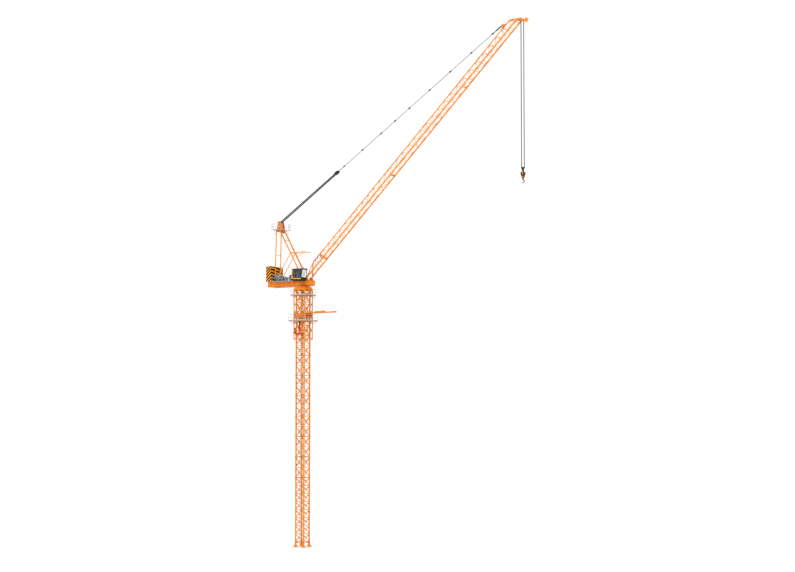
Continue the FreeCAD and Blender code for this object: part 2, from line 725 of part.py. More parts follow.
# head of the jib: cross beam, cheeks for the pulley, pendant lug, service arm
tip_along = jib_length
tip_above = -45
axle = 6
lug_along = size("lug_along")
lug_above = size("lug_above")
head = []
for sign in (-1, 1):
    head.append(bar((cuts[3], sign * half_jib, 0), (tip_along - 20, sign * half_jib, 0), chord))
    head.append(bar((cuts[3] - 70, 0, depth), (tip_along - 30, sign * half_jib, 0), upper_chord * 0.8))
    low = min(sign * 14, sign * 20)
    outline = [(tip_along - 60, 12), (tip_along + 10, 12), (tip_along + 24, tip_above - 6),
               (tip_along + 6, tip_above - 20), (tip_along - 20, tip_above - 4)]
    head.append(plate(outline, low, low + 6))
head.append(bar((tip_along - 30, -half_jib - chord / 2, 0), (tip_along - 30, half_jib + chord / 2, 0), chord))
head.append(rod((tip_along, -22, tip_above), (tip_along, 22, tip_above), axle))
arm_y = -half_jib + 12
head.append(bar((tip_along - 26, arm_y, 0), (tip_along + 24, arm_y, -150), 12))
head.append(bar((tip_along + 20, arm_y, -150), (tip_along + 85, arm_y, -150 + 22), 26, 60))
solid_node("jib_head", fused(head), raised)

lug = []
for y in (-14, 9):
    outline = [(lug_along - 45, depth), (lug_along + 45, depth), (lug_along + 10, lug_above + 10),
               (lug_along - 10, lug_above + 10)]
    lug.append(plate(outline, y, y + 5))
lug.append(rod((lug_along, -17, lug_above), (lug_along, 17, lug_above), 5))
lug.append(Part.makeBox(100, 34, 6, Vector(lug_along - 50, -17, depth + upper_chord / 2 - 4)))
solid_node("pendant_lug", fused(lug), raised)

# ---------------------------------------------------------------- luffing line, drawn along +X and then raised
angle = radians(jib_angle)
lug_x = pivot_x + lug_along * cos(angle) - lug_above * sin(angle)
lug_z = pivot_z + lug_along * sin(angle) + lug_above * cos(angle)
line_length = hypot(lug_x - head_x, lug_z - head_z)
line_angle = degrees(atan2(lug_z - head_z, lug_x - head_x))
on_line = FreeCAD.Placement(Vector(lug_x, 0, lug_z), Rotation(Vector(0, -1, 0), line_angle))
falls = size("falls_length")
block_x = -line_length + falls
pendant_width = 12
bar_lengths = [470, 470, 350, 350, 490, 490, 490, 490]
pendants = []
x = block_x + 200
pin_places = [x]
for length in bar_lengths:
    pendants.append(bar((x, 0, 0), (x + length, 0, 0), 6, pendant_width))
    x += length
    pin_places.append(x)
pendants.append(bar((x, 0, 0), (-8, 0, 0), 10, 16))
pendants.append(bar((block_x + 40, 0, 0), (block_x + 200, 0, 0), 8, 14))
for place in pin_places:
    pendants.append(rod((place, -9, 0), (place, 9, 0), 11))
pendants.append(rod((0, -7, 0), (0, 7, 0), 13))
pendant_shape = fused(pendants)
pendant_shape = pendant_shape.cut(rod((0, -8, 0), (0, 8, 0), 5 + size("pin_clearance")))
solid_node("pendant_bars", pendant_shape, on_line)

head_sheave = 25
block_sheave = 20
block = []
for y in (-26, 20):
    outline = [(block_x - 34, -20), (block_x - 34, 20), (block_x + 20, 26), (block_x + 60, 8), (block_x + 60, -8),
               (block_x + 20, -26)]
    block.append(plate(outline, y, y + 6))
block.append(rod((block_x, -20, 0), (block_x, 20, 0), block_sheave))
block.append(bar((block_x + 50, -24, 0), (block_x + 50, 24, 0), 16))
solid_node("floating_block", fused(block), on_line)

rope = size("rope_radius")
falls_level = 14
falls_start = -line_length + sqrt(head_sheave ** 2 - (falls_level - rope) ** 2) + 0.5
falls_end = block_x - sqrt(block_sheave ** 2 - (falls_level - rope) ** 2) - 0.5
ropes = []
for level in (-falls_level, falls_level):
    for y in (-15, -5, 5, 15):
        ropes.append(rod((falls_start, y, level), (falls_end, y, level), rope))
solid_node("luffing_falls", Part.makeCompound(ropes), on_line)

head_block = [
    rod((-line_length, -24, 0), (-line_length, 24, 0), head_sheave),
    rod((-line_length, -cheek + 0.3, 0), (-line_length, cheek - 0.3, 0), 7),
]
for y in (-30, 25):
    head_block.append(plate([(-line_length - 22, -16), (-line_length + 26, -14), (-line_length + 26, 14),
                             (-line_length - 22, 16)], y, y + 5))
solid_node("luffing_head_block", fused(head_block), on_line)

# ---------------------------------------------------------------- hoist line and hook, hung from the jib's head
tip_x = pivot_x + tip_along * cos(angle) - tip_above * sin(angle)
tip_z = pivot_z + tip_along * sin(angle) + tip_above * cos(angle)
pulley = size("pulley_radius")
wheel = rod((tip_x, -8, tip_z), (tip_x, 8, tip_z), pulley)
wheel = wheel.cut(rod((tip_x, -9, tip_z), (tip_x, 9, tip_z), axle + size("pin_clearance")))
solid_node("head_pulley", wheel)

block_top = tip_z - size("hook_drop")
fall_x = pulley + rope
ropes = [rod((tip_x + side * fall_x, 0, tip_z), (tip_x + side * fall_x, 0, block_top + 0.3), rope)
         for side in (-1, 1)]
solid_node("hoist_ropes", Part.makeCompound(ropes))

yoke = [
    Part.makeBox(2 * fall_x + 12, 20, 26, Vector(tip_x - fall_x - 6, -10, block_top - 26)),
    Part.makeBox(34, 16, 60, Vector(tip_x - 17, -8, block_top - 80)),
]
solid_node("hook_block_yoke", fused(yoke))
housing_z = block_top - 110
housing = [
    rod((tip_x, -20, housing_z), (tip_x, 20, housing_z), 38),
    Part.makeBox(52, 30, 60, Vector(tip_x - 26, -15, housing_z - 60)),
]
housing_shape = fused(housing)
housing_shape = housing_shape.cut(Part.makeBox(34.6, 16.6, 60, Vector(tip_x - 17.3, -8.3, block_top - 80)))
solid_node("hook_block_housing", housing_shape)

shank_top = housing_z - 60 - 0.4
hook_radius = 24
hook_centre = shank_top - 62
bow = Part.makeTorus(hook_radius, 7, Vector(tip_x, 0, hook_centre), Vector(0, 1, 0), 0, 360, 250)
bow.rotate(Vector(tip_x, 0, hook_centre), Vector(0, 1, 0), -35)
shank = [
    rod((tip_x, 0, shank_top), (tip_x, 0, shank_top - 10), 14),
    rod((tip_x, 0, shank_top - 4), (tip_x, 0, hook_centre + hook_radius - 2), 8),
]
solid_node("hook", fused(shank + [bow]))

# ---------------------------------------------------------------- welded joints


def butted(name, *others):
    """The node ends at the faces of the others, as a welded piece does, and the offcuts inside them go."""
    item = doc.getObject(name)
    cutters = [doc.getObject(other).Shape for other in others]
    count = len(item.Shape.Solids)
    pieces = sorted(item.Shape.cut(cutters).Solids, key=lambda piece: -piece.Volume)
    item.Shape = Part.makeCompound(pieces[:count])


doc.recompute()
butted("loading_beam", "climbing_cage")
butted("beam_stays", "loading_trolley", "loading_beam")
butted("platform_brackets", "climbing_cage", "work_platform", "upper_platform")
butted("climbing_cylinder", "climbing_cage")
butted("climbing_crosshead", "climbing_cylinder", "mast_upper")
butted("front_legs", "slewing_deck", "jib_foot_lugs", "a_frame_head")
butted("rear_legs", "slewing_deck", "a_frame_head")
butted("frame_braces", "front_legs")
butted("backstop_arms", "front_legs")
butted("head_platforms", "rear_legs")
butted("jib_lower", "jib_foot")
butted("jib_middle", "jib_lower")
butted("jib_upper", "jib_middle")
butted("jib_head", "jib_upper")
butted("pendant_lug", "jib_upper")
butted("pendant_bars", "floating_block")

# ---------------------------------------------------------------- checks and files
doc.recompute()
os.makedirs("parts", exist_ok=True)
faults = []
for item in doc.Objects:
    if any(word in item.State for word in ("Invalid", "Error")):
        faults.append(item.Label)
for item in nodes:
    if item.Shape.isNull() or not item.Shape.isValid() or not item.Shape.Solids:
        faults.append(item.Label)
if faults:
    raise ValueError("unsound: " + ", ".join(faults))
for item in nodes:
    item.Shape.exportStep(f"parts/{item.Label}.step")
    print(item.Label, len(item.Shape.Solids), round(item.Shape.Volume))
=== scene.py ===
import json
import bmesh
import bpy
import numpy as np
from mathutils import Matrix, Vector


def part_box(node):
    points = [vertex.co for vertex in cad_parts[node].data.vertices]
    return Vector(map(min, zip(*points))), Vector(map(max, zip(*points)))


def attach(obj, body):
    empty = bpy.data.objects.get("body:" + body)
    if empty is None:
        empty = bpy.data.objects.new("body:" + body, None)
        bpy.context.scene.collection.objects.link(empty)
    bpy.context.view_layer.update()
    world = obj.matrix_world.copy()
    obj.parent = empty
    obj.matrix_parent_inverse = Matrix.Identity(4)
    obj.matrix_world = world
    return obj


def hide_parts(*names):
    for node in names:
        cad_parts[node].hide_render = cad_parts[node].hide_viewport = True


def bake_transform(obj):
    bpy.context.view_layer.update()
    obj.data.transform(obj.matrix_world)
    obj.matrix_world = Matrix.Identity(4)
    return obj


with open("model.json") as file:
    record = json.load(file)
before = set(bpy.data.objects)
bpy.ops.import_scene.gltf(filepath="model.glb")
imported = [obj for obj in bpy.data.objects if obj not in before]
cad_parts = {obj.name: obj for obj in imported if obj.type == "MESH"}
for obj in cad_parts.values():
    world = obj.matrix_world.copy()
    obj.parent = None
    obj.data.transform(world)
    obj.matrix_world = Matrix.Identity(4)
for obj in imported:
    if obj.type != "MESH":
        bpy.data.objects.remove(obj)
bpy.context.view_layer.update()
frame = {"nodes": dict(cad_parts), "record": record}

# %% [markdown]
# # A luffing-jib tower crane at one tenth
# The steelwork is already here as CAD nodes: mast, climbing cage, slewing deck, A-frame, jib and hook.
# What is missing is what a paint shop and a fitter add: layered paint, hazard stripes, ladders, handrails,
# flanges with bolts, rope on the drums, cab trim and the wire ropes themselves.
# Each of those is one surface worked out with numpy, laid in the row's own frame in metres, so that
# a piece needs no moving once it is made.

nodes = frame["nodes"]
JIB_ANGLE = np.radians(43.6)
JIB_FOOT = np.array([0.124, 0.0, 4.880])
JIB_LENGTH = 5.975
HALF_MAST = 0.0875
HALF_CAGE = 0.120
HEAD = np.array([-0.520, 0.0, 5.940])


def corners(box):
    """The lowest and the highest corner of a CAD node's box, as two arrays."""
    return [np.array(corner) for corner in box]


DECK_TOP = float(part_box("slewing_deck")[1][2])
print("deck top", round(DECK_TOP, 4), "nodes", len(nodes))

# %% [markdown]
# ## Paint
# Crane paint is a thick two-part coat sprayed on welded steel. It is glossy where it is new, duller where
# rain and dust have dried, and a shade darker round the joints. A flat colour would look like plastic, so
# the colour drifts between two close tones on a large noise, a finer noise breaks up the gloss, and a small
# bump gives the orange-peel skin. Everything reads Object coordinates, so the pattern stays on the steel.

# %% A paint maker
FINER = 22
GLOSS_LOSS = 0.09
GLOSS_GAIN = 0.14
TONE_EDGES = (0.34, 0.62)
SKIN_DEPTH = 0.001


def shader_node(tree, kind, sockets=(), **settings):
    """A new shader node, with its settings, such as the operation, and the values of its unlinked sockets."""
    made = tree.nodes.new(kind)
    for setting, value in settings.items():
        setattr(made, setting, value)
    for socket, value in dict(sockets).items():
        made.inputs[socket].default_value = value
    return made


def two_stops(tree, positions, tones=None):
    """A colour ramp with two stops, black and white unless tones are given."""
    ramp = tree.nodes.new("ShaderNodeValToRGB")
    for index, stop in enumerate(ramp.color_ramp.elements):
        stop.position = positions[index]
        if tones:
            stop.color = (*tones[index], 1)
    return ramp


def coat(name, colour, deep, rough=0.42, metal=0.0, grain=9.0, skin=0.08, clear=0.06):
    """A sprayed coat: colour drifts to a deeper tone on a broad noise, and a fine noise moves the roughness
    round its middle value and lifts the skin."""
    material = bpy.data.materials.new(name)
    material.use_nodes = True
    tree = material.node_tree
    link = tree.links.new
    shader = tree.nodes["Principled BSDF"]
    place = shader_node(tree, "ShaderNodeTexCoord")
    broad = shader_node(tree, "ShaderNodeTexNoise", {"Scale": grain, "Detail": 6.0})
    fine = shader_node(tree, "ShaderNodeTexNoise", {"Scale": grain * FINER, "Detail": 3.0})
    tone = two_stops(tree, TONE_EDGES, (deep, colour))
    gloss = shader_node(tree, "ShaderNodeMapRange")
    gloss.inputs["To Min"].default_value = rough - GLOSS_LOSS
    gloss.inputs["To Max"].default_value = rough + GLOSS_GAIN
    bump = shader_node(tree, "ShaderNodeBump", {"Strength": skin, "Distance": SKIN_DEPTH})
    for noise in (broad, fine):
        link(place.outputs["Object"], noise.inputs["Vector"])
    link(broad.outputs["Fac"], tone.inputs["Fac"])
    link(tone.outputs["Color"], shader.inputs["Base Color"])
    link(fine.outputs["Fac"], gloss.inputs["Value"])
    link(gloss.outputs["Result"], shader.inputs["Roughness"])
    link(fine.outputs["Fac"], bump.inputs["Height"])
    link(bump.outputs["Normal"], shader.inputs["Normal"])
    finish = {"Metallic": metal, "Coat Weight": clear, "Coat Roughness": 0.2, "Specular IOR Level": 0.2}
    for socket, value in finish.items():
        shader.inputs[socket].default_value = value
    return material


# %% The crane's coats
orange = coat("orange_crane_paint", (0.80, 0.245, 0.002), (0.68, 0.165, 0.001))
amber = coat("amber_lattice_paint", (0.81, 0.288, 0.0003), (0.66, 0.195, 0.0003))
pale_orange = coat("pale_orange_paint", (0.86, 0.36, 0.008), (0.76, 0.26, 0.003))
red = coat("red_hydraulic_paint", (0.46, 0.008, 0.003), (0.30, 0.005, 0.003))
# This red-orange is the own paint of the cleats, rollers, ties, sheaves and pulleys; on the deck's bottom
# flanges it stands in as painted shade.
red_orange_and_flange_shade = coat("orange_red_paint_and_flange_shade", (0.74, 0.10, 0.002), (0.60, 0.055, 0.001))
black = coat("black_machine_paint", (0.018, 0.019, 0.022), (0.008, 0.008, 0.01), rough=0.5)
grey = coat("grey_machine_paint", (0.22, 0.215, 0.21), (0.11, 0.11, 0.115), rough=0.5, grain=25)
light_grey = coat("light_grey_cabinet_paint", (0.34, 0.39, 0.44), (0.26, 0.29, 0.33), rough=0.45)
cab_blue = coat("dark_blue_cab_paint", (0.012, 0.022, 0.055), (0.006, 0.01, 0.028), rough=0.3, clear=0.6)
galvanised = coat("galvanised_steel", (0.46, 0.48, 0.5), (0.34, 0.36, 0.38), rough=0.5, metal=0.7, grain=40)
bright_steel = coat("bright_pin_steel", (0.62, 0.63, 0.65), (0.45, 0.46, 0.48), rough=0.3, metal=0.9,
                    grain=60)
rubber = coat("black_rubber", (0.015, 0.015, 0.016), (0.008, 0.008, 0.009), rough=0.75, clear=0.0)
print("coats from", orange.name, "to", rubber.name)

# %% [markdown]
# ## Hazard stripes on the counterweight
# Black and orange stripes are sprayed over the stacked slabs: diagonal on the two ends, level on the faces
# that look along the deck. They could be painted as an image, but one plane wave does it: the phase is the
# height less the distance along the deck, so it slants where that distance changes and lies level where it
# does not.

# %% Hazard paint
STRIPE_PITCH = 0.058
STRIPE_SLANT = -0.85
STRIPE_LEAN = 0.17
STRIPE_EDGES = (0.60, 0.63)


def hazard_coat():
    """Stripes where the sine of 2 pi * (z + slant * x + lean * y) / pitch is high, with a soft worn edge."""
    material = coat("hazard_stripes", (0.94, 0.38, 0.008), (0.84, 0.28, 0.004), rough=0.5)
    tree = material.node_tree
    link = tree.links.new
    shader = tree.nodes["Principled BSDF"]
    clean = shader.inputs["Base Color"].links[0].from_socket
    place = shader_node(tree, "ShaderNodeTexCoord")
    split = shader_node(tree, "ShaderNodeSeparateXYZ")
    slant = shader_node(tree, "ShaderNodeMath", {1: STRIPE_SLANT}, operation="MULTIPLY_ADD")
    lean = shader_node(tree, "ShaderNodeMath", {1: STRIPE_LEAN}, operation="MULTIPLY_ADD")
    phase = shader_node(tree, "ShaderNodeMath", {1: 2 * np.pi / STRIPE_PITCH}, operation="MULTIPLY")
    sine = shader_node(tree, "ShaderNodeMath", operation="SINE")
    half_up = shader_node(tree, "ShaderNodeMath", {1: 0.5, 2: 0.5}, operation="MULTIPLY_ADD")
    edge = two_stops(tree, STRIPE_EDGES)
    mix = shader_node(tree, "ShaderNodeMix", data_type="RGBA")
    under, over = [socket for socket in mix.inputs if socket.type == "RGBA"]
    under.default_value = (0.004, 0.005, 0.012, 1)
    link(place.outputs["Object"], split.inputs["Vector"])
    link(split.outputs["X"], slant.inputs[0])
    link(split.outputs["Z"], slant.inputs[2])
    link(split.outputs["Y"], lean.inputs[0])
    link(slant.outputs["Value"], lean.inputs[2])
    link(lean.outputs["Value"], phase.inputs[0])
    link(phase.outputs["Value"], sine.inputs[0])
    link(sine.outputs["Value"], half_up.inputs[0])
    link(half_up.outputs["Value"], edge.inputs["Fac"])
    link(edge.outputs["Color"], mix.inputs["Factor"])
    link(clean, over)
    striped = [socket for socket in mix.outputs if socket.type == "RGBA"][0]
    link(striped, shader.inputs["Base Color"])
    shader.inputs["Specular IOR Level"].default_value = 0.04
    shader.inputs["Coat Weight"].default_value = 0.0
    return material


hazard = hazard_coat()
print("hazard stripe pitch", STRIPE_PITCH, "m")

# %% [markdown]
# ## Glass, open grating and wire rope
# Cab glass is tinted and mirrors the sky; the windscreen instead has an opaque pale sky-blue coat, a painted
# reflection of the sky. Walkways are bar grating: at this size a fine bump of close bars reads better than
# thousands of modelled holes. A wire rope is six strands laid in a spiral; its lay is cheap to suggest with a
# wave that runs slantwise over the rope.

# %% Tinted glass


def tinted_glass():
    """Tinted glass with a faint drift in its tint, so that a big pane isn't dead flat."""
    material = coat("cab_window_glass", (0.50, 0.58, 0.65), (0.42, 0.50, 0.57), rough=0.10, skin=0.004,
                    clear=0.0)
    shader = material.node_tree.nodes["Principled BSDF"]
    for socket, value in {"Transmission Weight": 0.96, "Specular IOR Level": 0.5, "IOR": 1.45}.items():
        shader.inputs[socket].default_value = value
    return material


glass = tinted_glass()
blind_white = coat("white_blind", (0.85, 0.87, 0.90), (0.75, 0.78, 0.82), rough=0.6)
# The windscreen's coat is opaque and pale sky-blue: a painted reflection of the sky on the glass.
painted_sky_windscreen = coat("windscreen_painted_sky_reflection", (0.74, 0.82, 0.88), (0.50, 0.60, 0.68), rough=0.16,
                       skin=0.005, grain=14)
print("glass", glass.name, painted_sky_windscreen.name)

# %% Grating and rope
BANDS_PER_METRE = 0.314


def wave_bump(name, colour, deep, direction, spacing, depth, metal=0.6, strength=0.9):
    """A coat with parallel ridges: the bump height is a wave along one Object direction."""
    material = coat(name, colour, deep, rough=0.5, metal=metal, grain=30)
    tree = material.node_tree
    place = shader_node(tree, "ShaderNodeTexCoord")
    wave = shader_node(tree, "ShaderNodeTexWave", {"Scale": BANDS_PER_METRE / spacing}, wave_type="BANDS",
                       bands_direction=direction)
    bump = shader_node(tree, "ShaderNodeBump", {"Strength": strength, "Distance": depth})
    tree.links.new(place.outputs["Object"], wave.inputs["Vector"])
    tree.links.new(wave.outputs["Fac"], bump.inputs["Height"])
    tree.links.new(bump.outputs["Normal"], tree.nodes["Principled BSDF"].inputs["Normal"])
    return material


grating = wave_bump("bar_grating", (0.50, 0.51, 0.53), (0.36, 0.37, 0.39), "X", 0.008, 0.003, metal=0.2)
rope_steel = wave_bump("wire_rope_lay", (0.085, 0.088, 0.095), (0.05, 0.052, 0.057), "DIAGONAL", 0.006,
                       0.001, strength=0.5)
new_rope = wave_bump("new_wire_rope_lay", (0.19, 0.195, 0.205), (0.12, 0.125, 0.13), "DIAGONAL", 0.006,
                     0.001, metal=0.3, strength=0.5)
pendant_steel = coat("pendant_bar_steel", (0.22, 0.225, 0.235), (0.13, 0.135, 0.14), rough=0.45, metal=0.5,
                     grain=30)
print("ridged coats", grating.name, rope_steel.name, new_rope.name)

# %% [markdown]
# ## Painting the CAD nodes
# The record names a slot for each node; the node's own mesh stays as it is and only its material slot
# changes. A few nodes get a shade of their own within the slot: the lattices are amber, the pulleys are a
# redder orange, and the walkways are grating.

# %% Coats on the nodes
coat_of_slot = {
    "orange_paint": orange, "red_paint": red, "black_paint": black, "grey_paint": grey,
    "galvanised_steel": galvanised, "wire_rope": rope_steel, "hazard_paint": hazard, "cab_paint": cab_blue,
    "cab_glass": glass, "pendant_steel": pendant_steel,
}
own_shades = (
    (amber, ("mast_lower", "mast_middle", "mast_upper", "mast_top_section", "climbing_cage", "front_legs",
             "jib_lower", "jib_middle", "jib_upper", "jib_foot")),
    (pale_orange, ("rear_legs", "frame_braces", "backstop_arms")),
    (red_orange_and_flange_shade, ("climbing_cleats", "luffing_head_block", "head_pulley")),
    (grating, ("work_platform", "upper_platform", "deck_walkways", "head_platforms")),
    (light_grey, ("power_cabinet",)),
    (black, ("hook_block_housing",)),
)
slot_of = {part["node"]: part["material_slot"] for part in frame["record"]["subparts"]}
coat_of = {name: coat_of_slot[slot] for name, slot in slot_of.items()}
coat_of.update({name: shade for shade, names in own_shades for name in names})
for name, node in nodes.items():
    for material_slot in node.material_slots:
        material_slot.material = coat_of[name]
print("painted", len(nodes), "nodes")

# %% [markdown]
# ## Turning arrays into pieces
# Blender can build a mesh one vertex at a time, or take whole arrays at once. A crane repeats the same few
# shapes hundreds of times, so whole arrays are both shorter to write and faster. A piece's place is in its
# mesh, and each piece says which body carries it.

# %% A piece from arrays
ROUND_UNDER = np.radians(35)
BEVEL_OVER = np.radians(40)


def finish_piece(name, vertices, faces, material, body, slot, bevel=0.0):
    """Puts arrays into a mesh, with its normals outward, edges of under 35 degrees shaded round and a small
    bevel where one is asked for; then paints it and lets it ride on a body of the crane."""
    mesh = bpy.data.meshes.new(name)
    points = np.asarray(vertices, float).reshape(-1, 3).tolist()
    mesh.from_pydata(points, [], [list(map(int, face)) for face in faces])
    shell = bmesh.new()
    shell.from_mesh(mesh)
    bmesh.ops.recalc_face_normals(shell, faces=shell.faces)
    shell.to_mesh(mesh)
    shell.free()
    mesh.polygons.foreach_set("use_smooth", np.ones(len(mesh.polygons), bool))
    mesh.set_sharp_from_angle(angle=ROUND_UNDER)
    mesh.materials.append(material)
    obj = bpy.data.objects.new(name, mesh)
    bpy.context.scene.collection.objects.link(obj)
    if bevel:
        worn = obj.modifiers.new("worn_edges", "BEVEL")
        worn.width = bevel
        worn.segments = 2
        worn.limit_method = "ANGLE"
        worn.angle_limit = BEVEL_OVER
    if body:
        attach(obj, body)
    print(f"{name}: {len(mesh.polygons)} faces")
    return obj


# %% [markdown]
# ## Boxes and struts
# Two shapes make most of a crane: the plate, which is a box, and the bar between two points. Blender's own
# cube and cylinder tools would make one object for each bar, so here one call makes any number of them.

# %% Boxes


def boxes(lows, highs):
    """Closed boxes from pairs of opposite corners: each of the eight corners takes the low or the high value
    of each coordinate."""
    low = np.asarray(lows, float).reshape(-1, 3)
    high = np.asarray(highs, float).reshape(-1, 3)
    pick = np.array([[0, 0, 0], [1, 0, 0], [1, 1, 0], [0, 1, 0], [0, 0, 1], [1, 0, 1], [1, 1, 1], [0, 1, 1]])
    points = low[:, None] + (high - low)[:, None] * pick[None]
    quads = np.array([[0, 3, 2, 1], [4, 5, 6, 7], [0, 1, 5, 4], [1, 2, 6, 5], [2, 3, 7, 6], [3, 0, 4, 7]])
    faces = (np.arange(len(low))[:, None, None] * 8 + quads[None]).reshape(-1, 4)
    return points.reshape(-1, 3), list(faces)


print("a box has", len(boxes([0, 0, 0], [1, 1, 1])[1]), "faces")

# %% Struts
UPRIGHT = 0.9


def struts(starts, ends, radius, sides=6):
    """Prisms between pairs of points: ring point k is start + radius * (cos a_k * u + sin a_k * v), with u
    and v square to the run, and the same ring at the end; each end is closed by one flat face."""
    start = np.asarray(starts, float).reshape(-1, 3)
    end = np.asarray(ends, float).reshape(-1, 3)
    run = end - start
    run /= np.linalg.norm(run, axis=1)[:, None]
    helper = np.where(np.abs(run[:, 2:3]) > UPRIGHT, [[1.0, 0, 0]], [[0, 0, 1.0]])
    u = np.cross(helper, run)
    u /= np.linalg.norm(u, axis=1)[:, None]
    v = np.cross(run, u)
    turn = (np.arange(sides) + 0.5) * 2 * np.pi / sides
    ring = radius * (np.cos(turn)[None, :, None] * u[:, None] + np.sin(turn)[None, :, None] * v[:, None])
    points = np.stack([start[:, None] + ring, end[:, None] + ring], axis=1)
    base = np.arange(len(start))[:, None] * 2 * sides
    k = np.arange(sides)
    quads = np.stack([k, (k + 1) % sides, (k + 1) % sides + sides, k + sides], axis=1)
    walls = (base[:, :, None] + quads[None]).reshape(-1, 4)
    return points.reshape(-1, 3), list(walls) + list(base + k[::-1]) + list(base + sides + k)


def at_height(places, z):
    """Plan places (x, y) lifted to one height z, or each to its own."""
    places = np.asarray(places, float)
    return np.column_stack([places, np.broadcast_to(z, len(places))])


print("a strut has", len(struts([0, 0, 0], [0, 0, 1], radius=1)[1]), "faces")

# %% [markdown]
# ## The mast's flanges and bolts
# Mast sections are joined by a flange on each leg, drawn up with long bolts. A boolean on the CAD legs would
# be heavy, so each joint is one plate round the leg with a bolt at its outer corner, over four legs.

# %% Mast flanges
joint_z = np.concatenate([[0.625, 1.25], 1.25 + 0.37 * np.arange(1, 9)])
mast_corners = np.array([[-1, -1], [1, -1], [1, 1], [-1, 1]]) * HALF_MAST
legs_xy = np.tile(mast_corners, (len(joint_z), 1))
flange_z = np.repeat(joint_z, 4)
flange_half = 0.0145
flange_rise = 0.009
bolt_out = 0.0115
bolt_reach = 0.016
flanges = boxes(at_height(legs_xy - flange_half, flange_z - flange_rise),
                at_height(legs_xy + flange_half, flange_z + flange_rise))
bolt_foot = at_height(legs_xy + np.sign(legs_xy) * bolt_out, flange_z - bolt_reach)
bolts = struts(bolt_foot, bolt_foot + [0, 0, 2 * bolt_reach], radius=0.003)
finish_piece("mast_flanges", *flanges, amber, "mast", "orange_paint")
finish_piece("mast_flange_bolts", *bolts, galvanised, "mast", "galvanised_steel")

# %% [markdown]
# ## The ladder inside the mast
# Fitters climb inside the lattice, from platform to platform. A ladder is two stiles and a rung each 28 mm
# at this scale; rungs are short struts set out with one arange. Stiles and rungs are separate meshes, so a
# helper joins them into one piece by shifting the face numbers.

# %% Mast ladder


def merged(*parts):
    """Several (vertices, faces) pairs as one: each part's face numbers go up by the vertices before it."""
    faces = []
    count = 0
    for points, polygons in parts:
        faces += [np.asarray(polygon) + count for polygon in polygons]
        count += len(points)
    return np.concatenate([points for points, polygons in parts]), faces


ladder_x = -0.045
half_ladder = 0.020
ladder_low = 0.03
ladder_high = 4.60
rung_pitch = 0.028
stile_foot = at_height([[ladder_x, -half_ladder], [ladder_x, half_ladder]], ladder_low)
stiles = struts(stile_foot, stile_foot + [0, 0, ladder_high - ladder_low], radius=0.0022)
rung_z = np.arange(ladder_low + 0.02, ladder_high, rung_pitch)
rung_start = at_height(np.tile([[ladder_x, -half_ladder]], (len(rung_z), 1)), rung_z)
rungs = struts(rung_start, rung_start + [0, 2 * half_ladder, 0], radius=0.0013, sides=5)
finish_piece("mast_ladder", *merged(stiles, rungs), galvanised, "mast", "galvanised_steel")

# %% [markdown]
# ## The feet
# Each flared foot carries four stiffening webs and an anchor bolt with its nut. A stub frame of red-orange
# ties joins the four legs just above the feet. Webs and stubs are plates, so boxes do for both.

# %% Foot webs
web_reach = 0.021
web_half_thick = 0.0016
web_low, web_high = 0.008, 0.048
web_ways = np.array([[1, 0], [-1, 0], [0, 1], [0, -1]])
web_out = web_ways * web_reach
web_side = np.abs(web_ways[:, ::-1]) * web_half_thick
webs_low = (mast_corners[:, None] + np.minimum(web_out, 0) - web_side).reshape(-1, 2)
webs_high = (mast_corners[:, None] + np.maximum(web_out, 0) + web_side).reshape(-1, 2)
webs = boxes(at_height(webs_low, web_low), at_height(webs_high, web_high))
finish_piece("foot_webs", *webs, orange, "mast", "orange_paint")

# %% Foot stub frame
stub_half = 0.0125
stub_low, tie_z, stub_high = 0.060, 0.078, 0.094
stubs = boxes(at_height(mast_corners - stub_half, stub_low), at_height(mast_corners + stub_half, stub_high))
tie_start = at_height(mast_corners, tie_z)
ties = struts(tie_start, np.roll(tie_start, -1, axis=0), radius=0.0050, sides=4)
finish_piece("foot_stub_frame", *merged(stubs, ties), red_orange_and_flange_shade, "mast", "red_paint")

# %% Anchor nuts
anchor_xy = mast_corners + np.sign(mast_corners) * 0.027
plate_top = 0.008
nuts = struts(at_height(anchor_xy, plate_top), at_height(anchor_xy, plate_top + 0.007), radius=0.0068)
studs = struts(at_height(anchor_xy, 0.0005), at_height(anchor_xy, 0.022), radius=0.0036, sides=12)
finish_piece("anchor_nuts", *merged(nuts, studs), galvanised, "mast", "galvanised_steel")

# %% [markdown]
# ## The cage's rollers
# The climbing cage runs on the mast's legs with small wheels, two beside each leg at three heights. A wheel
# is a short strut with many sides, so one call makes all of them.

# %% Cage rollers
roller_out = 0.0195
roller_half = 0.006
roller_places = []
for z in (3.79, 3.93, 4.06):
    for side_x, side_y in np.sign(mast_corners):
        roller_places.append([side_x * HALF_MAST, side_y * (HALF_MAST + roller_out), z])
        roller_places.append([side_x * (HALF_MAST + roller_out), side_y * HALF_MAST, z])
roller_places = np.array(roller_places)
beside_y = np.abs(roller_places[:, 1]) > np.abs(roller_places[:, 0])
half_axle = np.where(beside_y[:, None], [[roller_half, 0, 0]], [[0, roller_half, 0]])
rollers = struts(roller_places - half_axle, roller_places + half_axle, radius=0.0085, sides=16)
finish_piece("cage_rollers", *rollers, red_orange_and_flange_shade, "mast", "red_paint")

# %% [markdown]
# ## The climbing cylinder's barrel and its pump
# The ram that lifts the cage is a plain rod in the CAD. Its barrel has a gland at each end, which is a
# profile turned on an axis; the same helper makes sheaves, drums, motors and ropes further on. The pump
# beside it is two boxes with worn edges.

# %% Turned shapes


